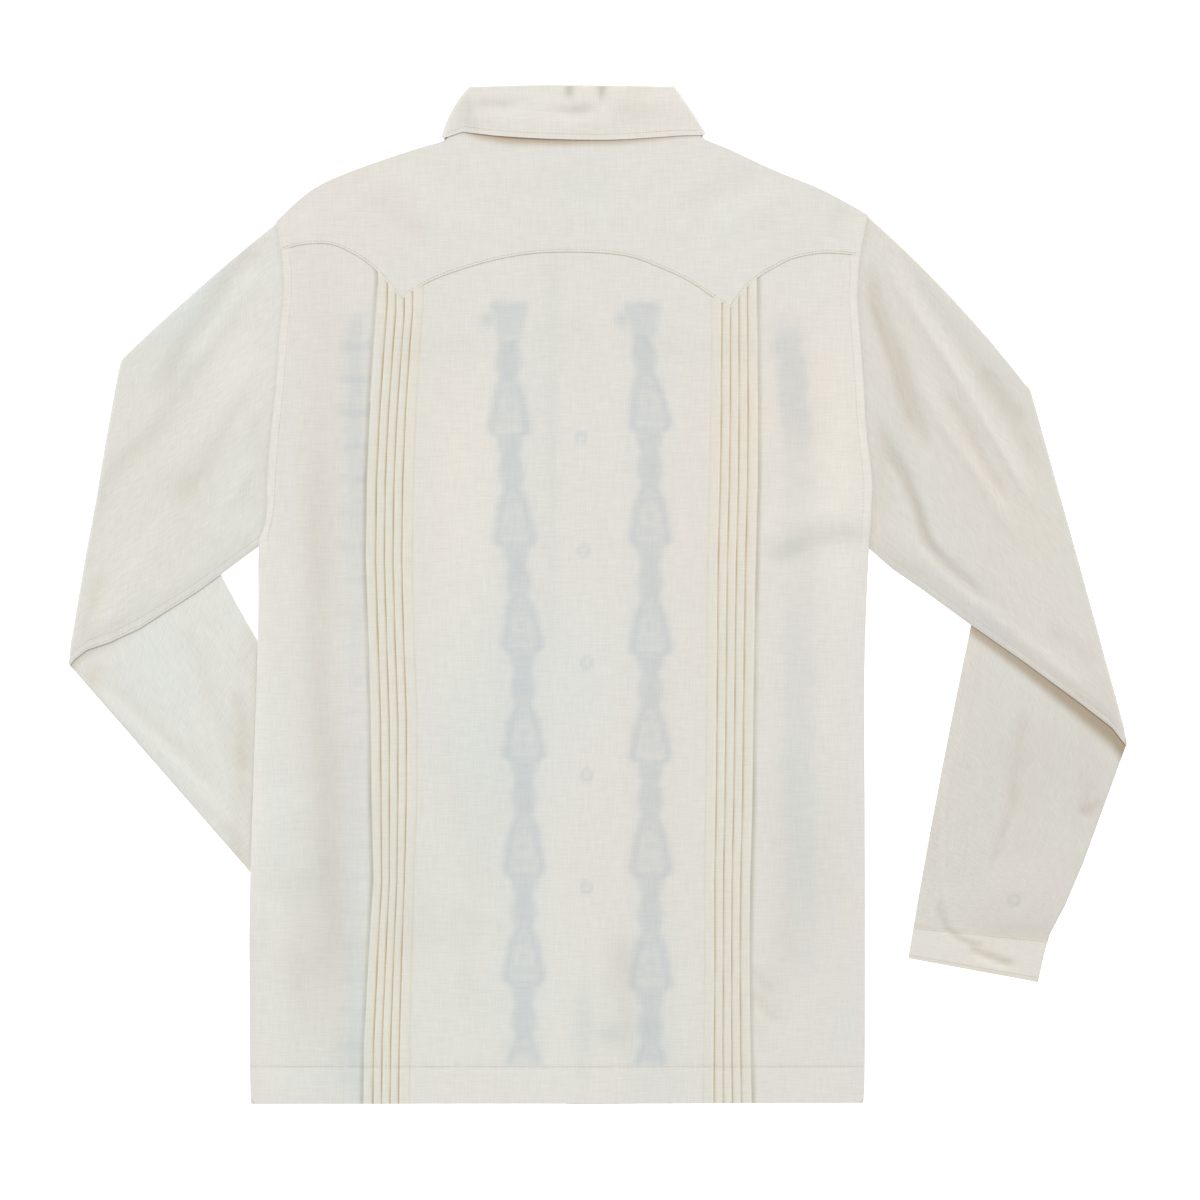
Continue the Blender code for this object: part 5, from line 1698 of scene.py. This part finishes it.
class GUAYABERA_OT_collar(Operator):
    """The collar: fall and stand meet at the top fold, and go round the neck to both points"""

    bl_idname = "guayabera.collar"
    bl_label = "Collar"

    LEAF_STEPS = 12
    BACK_STEPS = 22
    TURN_STEPS = 12

    def stations(self):
        """Turn, top fold, free edge and neck seam all round the collar."""
        left = self.smooth(LEFT_COLLAR_LEAF, self.LEAF_STEPS)
        back = self.smooth(COLLAR_BACK, self.BACK_STEPS)
        right = self.smooth(RIGHT_COLLAR_LEAF, self.LEAF_STEPS)
        turns = np.linspace(0, 180, self.TURN_STEPS)
        left_turn = [[turn] + self.flat(LEFT_COLLAR_TURN) for turn in turns[::-1]]
        right_turn = [[turn] + self.flat(RIGHT_COLLAR_TURN) for turn in turns]
        return np.array(left + left_turn + back + right_turn + right)

    def flat(self, points):
        return [value for point in points for value in point]

    def smooth(self, table, steps):
        rows = [[row[0]] + self.flat(row[1:]) for row in table]
        return [list(row) for row in rounded(rows, steps)]

    def execute(self, context):
        stations = self.stations()
        half = len(stations) // 2
        fall = np.concatenate([np.linspace(1.0, 0.12, 16), [0.07, 0.035]])
        section = [("fall", share, COLLAR_REACH) for share in fall]
        section += [("tip", angle, 0.0) for angle in np.linspace(0, math.pi, 8)]
        section += [("stand", share, 0.15) for share in (0.1, 0.4, 0.7, 1.0)]
        rows = []
        for kind, value, radius in section:
            row = []
            for index, (turn, *rest) in enumerate(stations):
                side = -1 if index < half else 1
                row.append(self.point(turn, np.array(rest).reshape(3, 2), kind, value, radius, side))
            rows.append(row)
        points = np.array(rows)
        x, y = points[..., 0], points[..., 1]
        top_face = (stations[:, 0] < 90)[None, :] & (np.array([s[0] == "fall" for s in section])[:, None])
        points[..., 2] += np.where(top_face, self.relief(x, y), 0.0)
        uv = np.dstack([x, y])
        tint = np.where(top_face[..., None], self.dents(x, y), 1.0) * COLLAR_TONE
        piece = sheet("collar_band", points, uv, tint, cloth_material("Ivory cloth"), thickness=0.6)
        hand_over(piece, "cloth", "collar")
        line = []
        for _, *rest in stations[stations[:, 0] < 1]:
            fold_at, edge_at, _ = np.array(rest).reshape(3, 2)
            length = np.hypot(*(edge_at - fold_at))
            px, py = mix(edge_at, fold_at, COLLAR_STITCH / length)
            pz = COLLAR_AXIS + COLLAR_REACH + float(self.relief(np.array(px), np.array(py)))
            line.append([px, py, pz + 0.1])
        stitched("stitches_collar", [line])
        return {"FINISHED"}

    def point(self, turn, places, kind, value, radius, side):
        """A point of the section: on the fall, round the top fold or on the stand."""
        top_fold, free_edge, neck_seam = places
        angle = math.radians(turn)
        reach = (neck_seam if kind == "stand" else free_edge) - top_fold
        length = float(np.hypot(*reach))
        direction = reach / length
        bend = (COLLAR_REACH - 0.15) / 2
        if kind == "tip":
            distance = bend * (1 - math.sin(value))
            radius = 0.15 + bend + bend * math.cos(value)
        elif kind == "fall":
            distance = max(value * length, bend)
        else:
            distance = mix(bend, length, (value - 0.1) / 0.9)
        outward = np.array([direction[1], -direction[0]]) * (1 if side < 0 else -1)
        share = distance / length
        bow = (3.2 if side < 0 else 0.8) * 4 * share * (1 - share) * (kind != "stand")
        x, y = top_fold + direction * distance + outward * (radius + bow) * math.sin(angle)
        return x, y, COLLAR_AXIS + radius * math.cos(angle)

    def relief(self, x, y):
        """Drop and rise of the fall's free edge, and the dents near its top fold."""
        edge = ease(y - 366.0, 20.0) * (-0.08 + 0.45 * blot(x, y, -62, 366, 46, 30))
        bumps = folds(x, y, [
            ([(-23, 407), (-22, 398), (-20, 388)], -0.9, 4, 4),
            ([(3, 407), (4, 398), (3, 386)], -0.9, 3.5, 3.5),
            ([(-10, 407), (-9, 392)], 0.4, 6, 6),
            ([(14, 407), (16, 396), (22, 384)], 0.4, 6, 6),
            ([(-104, 392), (-76, 391), (-50, 394)], -0.6, 5, 5),
            ([(-44, 387), (-20, 384), (2, 390)], -0.6, 5, 5),
            ([(10, 396), (34, 392), (62, 398)], 0.6, 6, 6),
            ([(-100, 380), (-60, 378), (-20, 376), (30, 377)], 0.7, 7, 7),
        ])
        return edge + bumps + 0.6 * ease(np.abs(y - 388.0), 16.0)

    def dents(self, x, y):
        """Share of light left: painted shade in the dents, and darker along both ends."""
        return tones(x, y, [
            (-23, 402, 3.5, 5, 0.24, 0.25, 0.27), (3, 402, 3, 6, 0.24, 0.25, 0.27),
            (-17, 388, 13, 4, 0.17, 0.17, 0.18), (-84, 392, 22, 4, 0.10, 0.10, 0.11),
            (-105, 384, 6, 16, 0.12, 0.10, 0.10), (28, 394, 12, 12, 0.05, 0.06, 0.07),
            (-98, 374, 5, 6, 0.06, 0.06, 0.06), (72, 376, 6, 10, 0.02, 0.02, 0.02),
        ])


# ---------------------------------------------------------------- buttons


class GUAYABERA_OT_buttons(Operator):
    """Eight four-hole buttons keep their solids and get the finish of smoky pearl"""

    bl_idname = "guayabera.buttons"
    bl_label = "Buttons"

    def execute(self, context):
        material = button_material()
        for name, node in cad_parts.items():
            if "button" in name:
                node.data.materials.clear()
                node.data.materials.append(material)
        return {"FINISHED"}


# ---------------------------------------------------------------- stage


class GUAYABERA_OT_stage(Operator):
    """A pale floor, soft studio light from the upper left and a camera straight above"""

    bl_idname = "guayabera.stage"
    bl_label = "Stage"

    def execute(self, context):
        settings = context.scene.guayabera_stage
        self.floor()
        self.camera(settings)
        self.softbox("key_softbox", (-1.0, 8.0, 9.0), 4.5, settings.key_power)
        self.softbox("fill_softbox", (6.0, -2.0, 9.0), 7.0, settings.fill_power)
        world = bpy.data.worlds.new("Surroundings")
        context.scene.world = world
        world.use_nodes = True
        background = world.node_tree.nodes["Background"]
        background.inputs["Color"].default_value = (1.0, 1.0, 1.0, 1.0)
        background.inputs["Strength"].default_value = settings.world_strength
        context.scene.view_settings.view_transform = "Standard"
        return {"FINISHED"}

    def floor(self):
        deselect_all()
        bpy.ops.mesh.primitive_plane_add(size=12.0, location=(0, 0, -0.0002))
        floor = bpy.context.active_object
        floor.name = "pale_floor"
        material, tree, shader = new_material("Pale floor")
        pale = colour_between(tree, (0.60, 0.60, 0.60), (0.62, 0.62, 0.62), object_noise(tree, 3.0))
        tree.links.new(pale, shader.inputs["Base Color"])
        shader.inputs["Roughness"].default_value = 1.0
        shader.inputs["Specular IOR Level"].default_value = 0.0
        shader.inputs["Emission Color"].default_value = (1.0, 1.0, 1.0, 1.0)
        shader.inputs["Emission Strength"].default_value = 0.85
        floor.data.materials.append(material)

    def camera(self, settings):
        data = bpy.data.cameras.new("camera_above")
        camera = bpy.data.objects.new("camera_above", data)
        bpy.context.scene.collection.objects.link(camera)
        data.sensor_width = 36.0
        data.lens = data.sensor_width * settings.camera_height / settings.view_width
        data.clip_end = 50.0
        camera.location = (0.0016, -0.0044, settings.camera_height)
        camera.rotation_euler = (0.0, 0.0, 0.0)
        bpy.context.scene.camera = camera

    def softbox(self, name, place, size, power):
        data = bpy.data.lights.new(name, "AREA")
        data.shape = "DISK"
        data.size = size
        data.energy = power
        light = bpy.data.objects.new(name, data)
        bpy.context.scene.collection.objects.link(light)
        light.location = place
        away = np.array(place) / np.linalg.norm(place)
        light.rotation_euler = (math.acos(away[2]), 0.0, math.atan2(away[1], away[0]) + math.pi / 2)


class GUAYABERA_PT_panel(Panel):
    bl_idname = "GUAYABERA_PT_panel"
    bl_label = "Guayabera shirt"
    bl_space_type = "VIEW_3D"
    bl_region_type = "UI"
    bl_category = "Guayabera"

    def draw(self, context):
        layout = self.layout
        for name in ("guayabera_cloth", "guayabera_sewing", "guayabera_stage"):
            settings = getattr(context.scene, name)
            for key in settings.__annotations__:
                layout.prop(settings, key)
        for operator in OPERATORS:
            layout.operator(operator.bl_idname)


SETTINGS = (ClothSettings, SewingSettings, StageSettings)
OPERATORS = (
    GUAYABERA_OT_stage,
    GUAYABERA_OT_back,
    GUAYABERA_OT_yoke,
    GUAYABERA_OT_fronts,
    GUAYABERA_OT_sleeves,
    GUAYABERA_OT_collar,
    GUAYABERA_OT_buttons,
)


def register():
    for kind in SETTINGS + OPERATORS + (GUAYABERA_PT_panel,):
        bpy.utils.register_class(kind)
    bpy.types.Scene.guayabera_cloth = PointerProperty(type=ClothSettings)
    bpy.types.Scene.guayabera_sewing = PointerProperty(type=SewingSettings)
    bpy.types.Scene.guayabera_stage = PointerProperty(type=StageSettings)


def unregister():
    del bpy.types.Scene.guayabera_stage
    del bpy.types.Scene.guayabera_sewing
    del bpy.types.Scene.guayabera_cloth
    for kind in reversed(SETTINGS + OPERATORS + (GUAYABERA_PT_panel,)):
        bpy.utils.unregister_class(kind)


def main():
    register()
    bpy.ops.guayabera.stage()
    bpy.ops.guayabera.back()
    bpy.ops.guayabera.yoke()
    bpy.ops.guayabera.fronts()
    bpy.ops.guayabera.sleeves()
    bpy.ops.guayabera.collar()
    bpy.ops.guayabera.buttons()


if __name__ == "__main__":
    main()
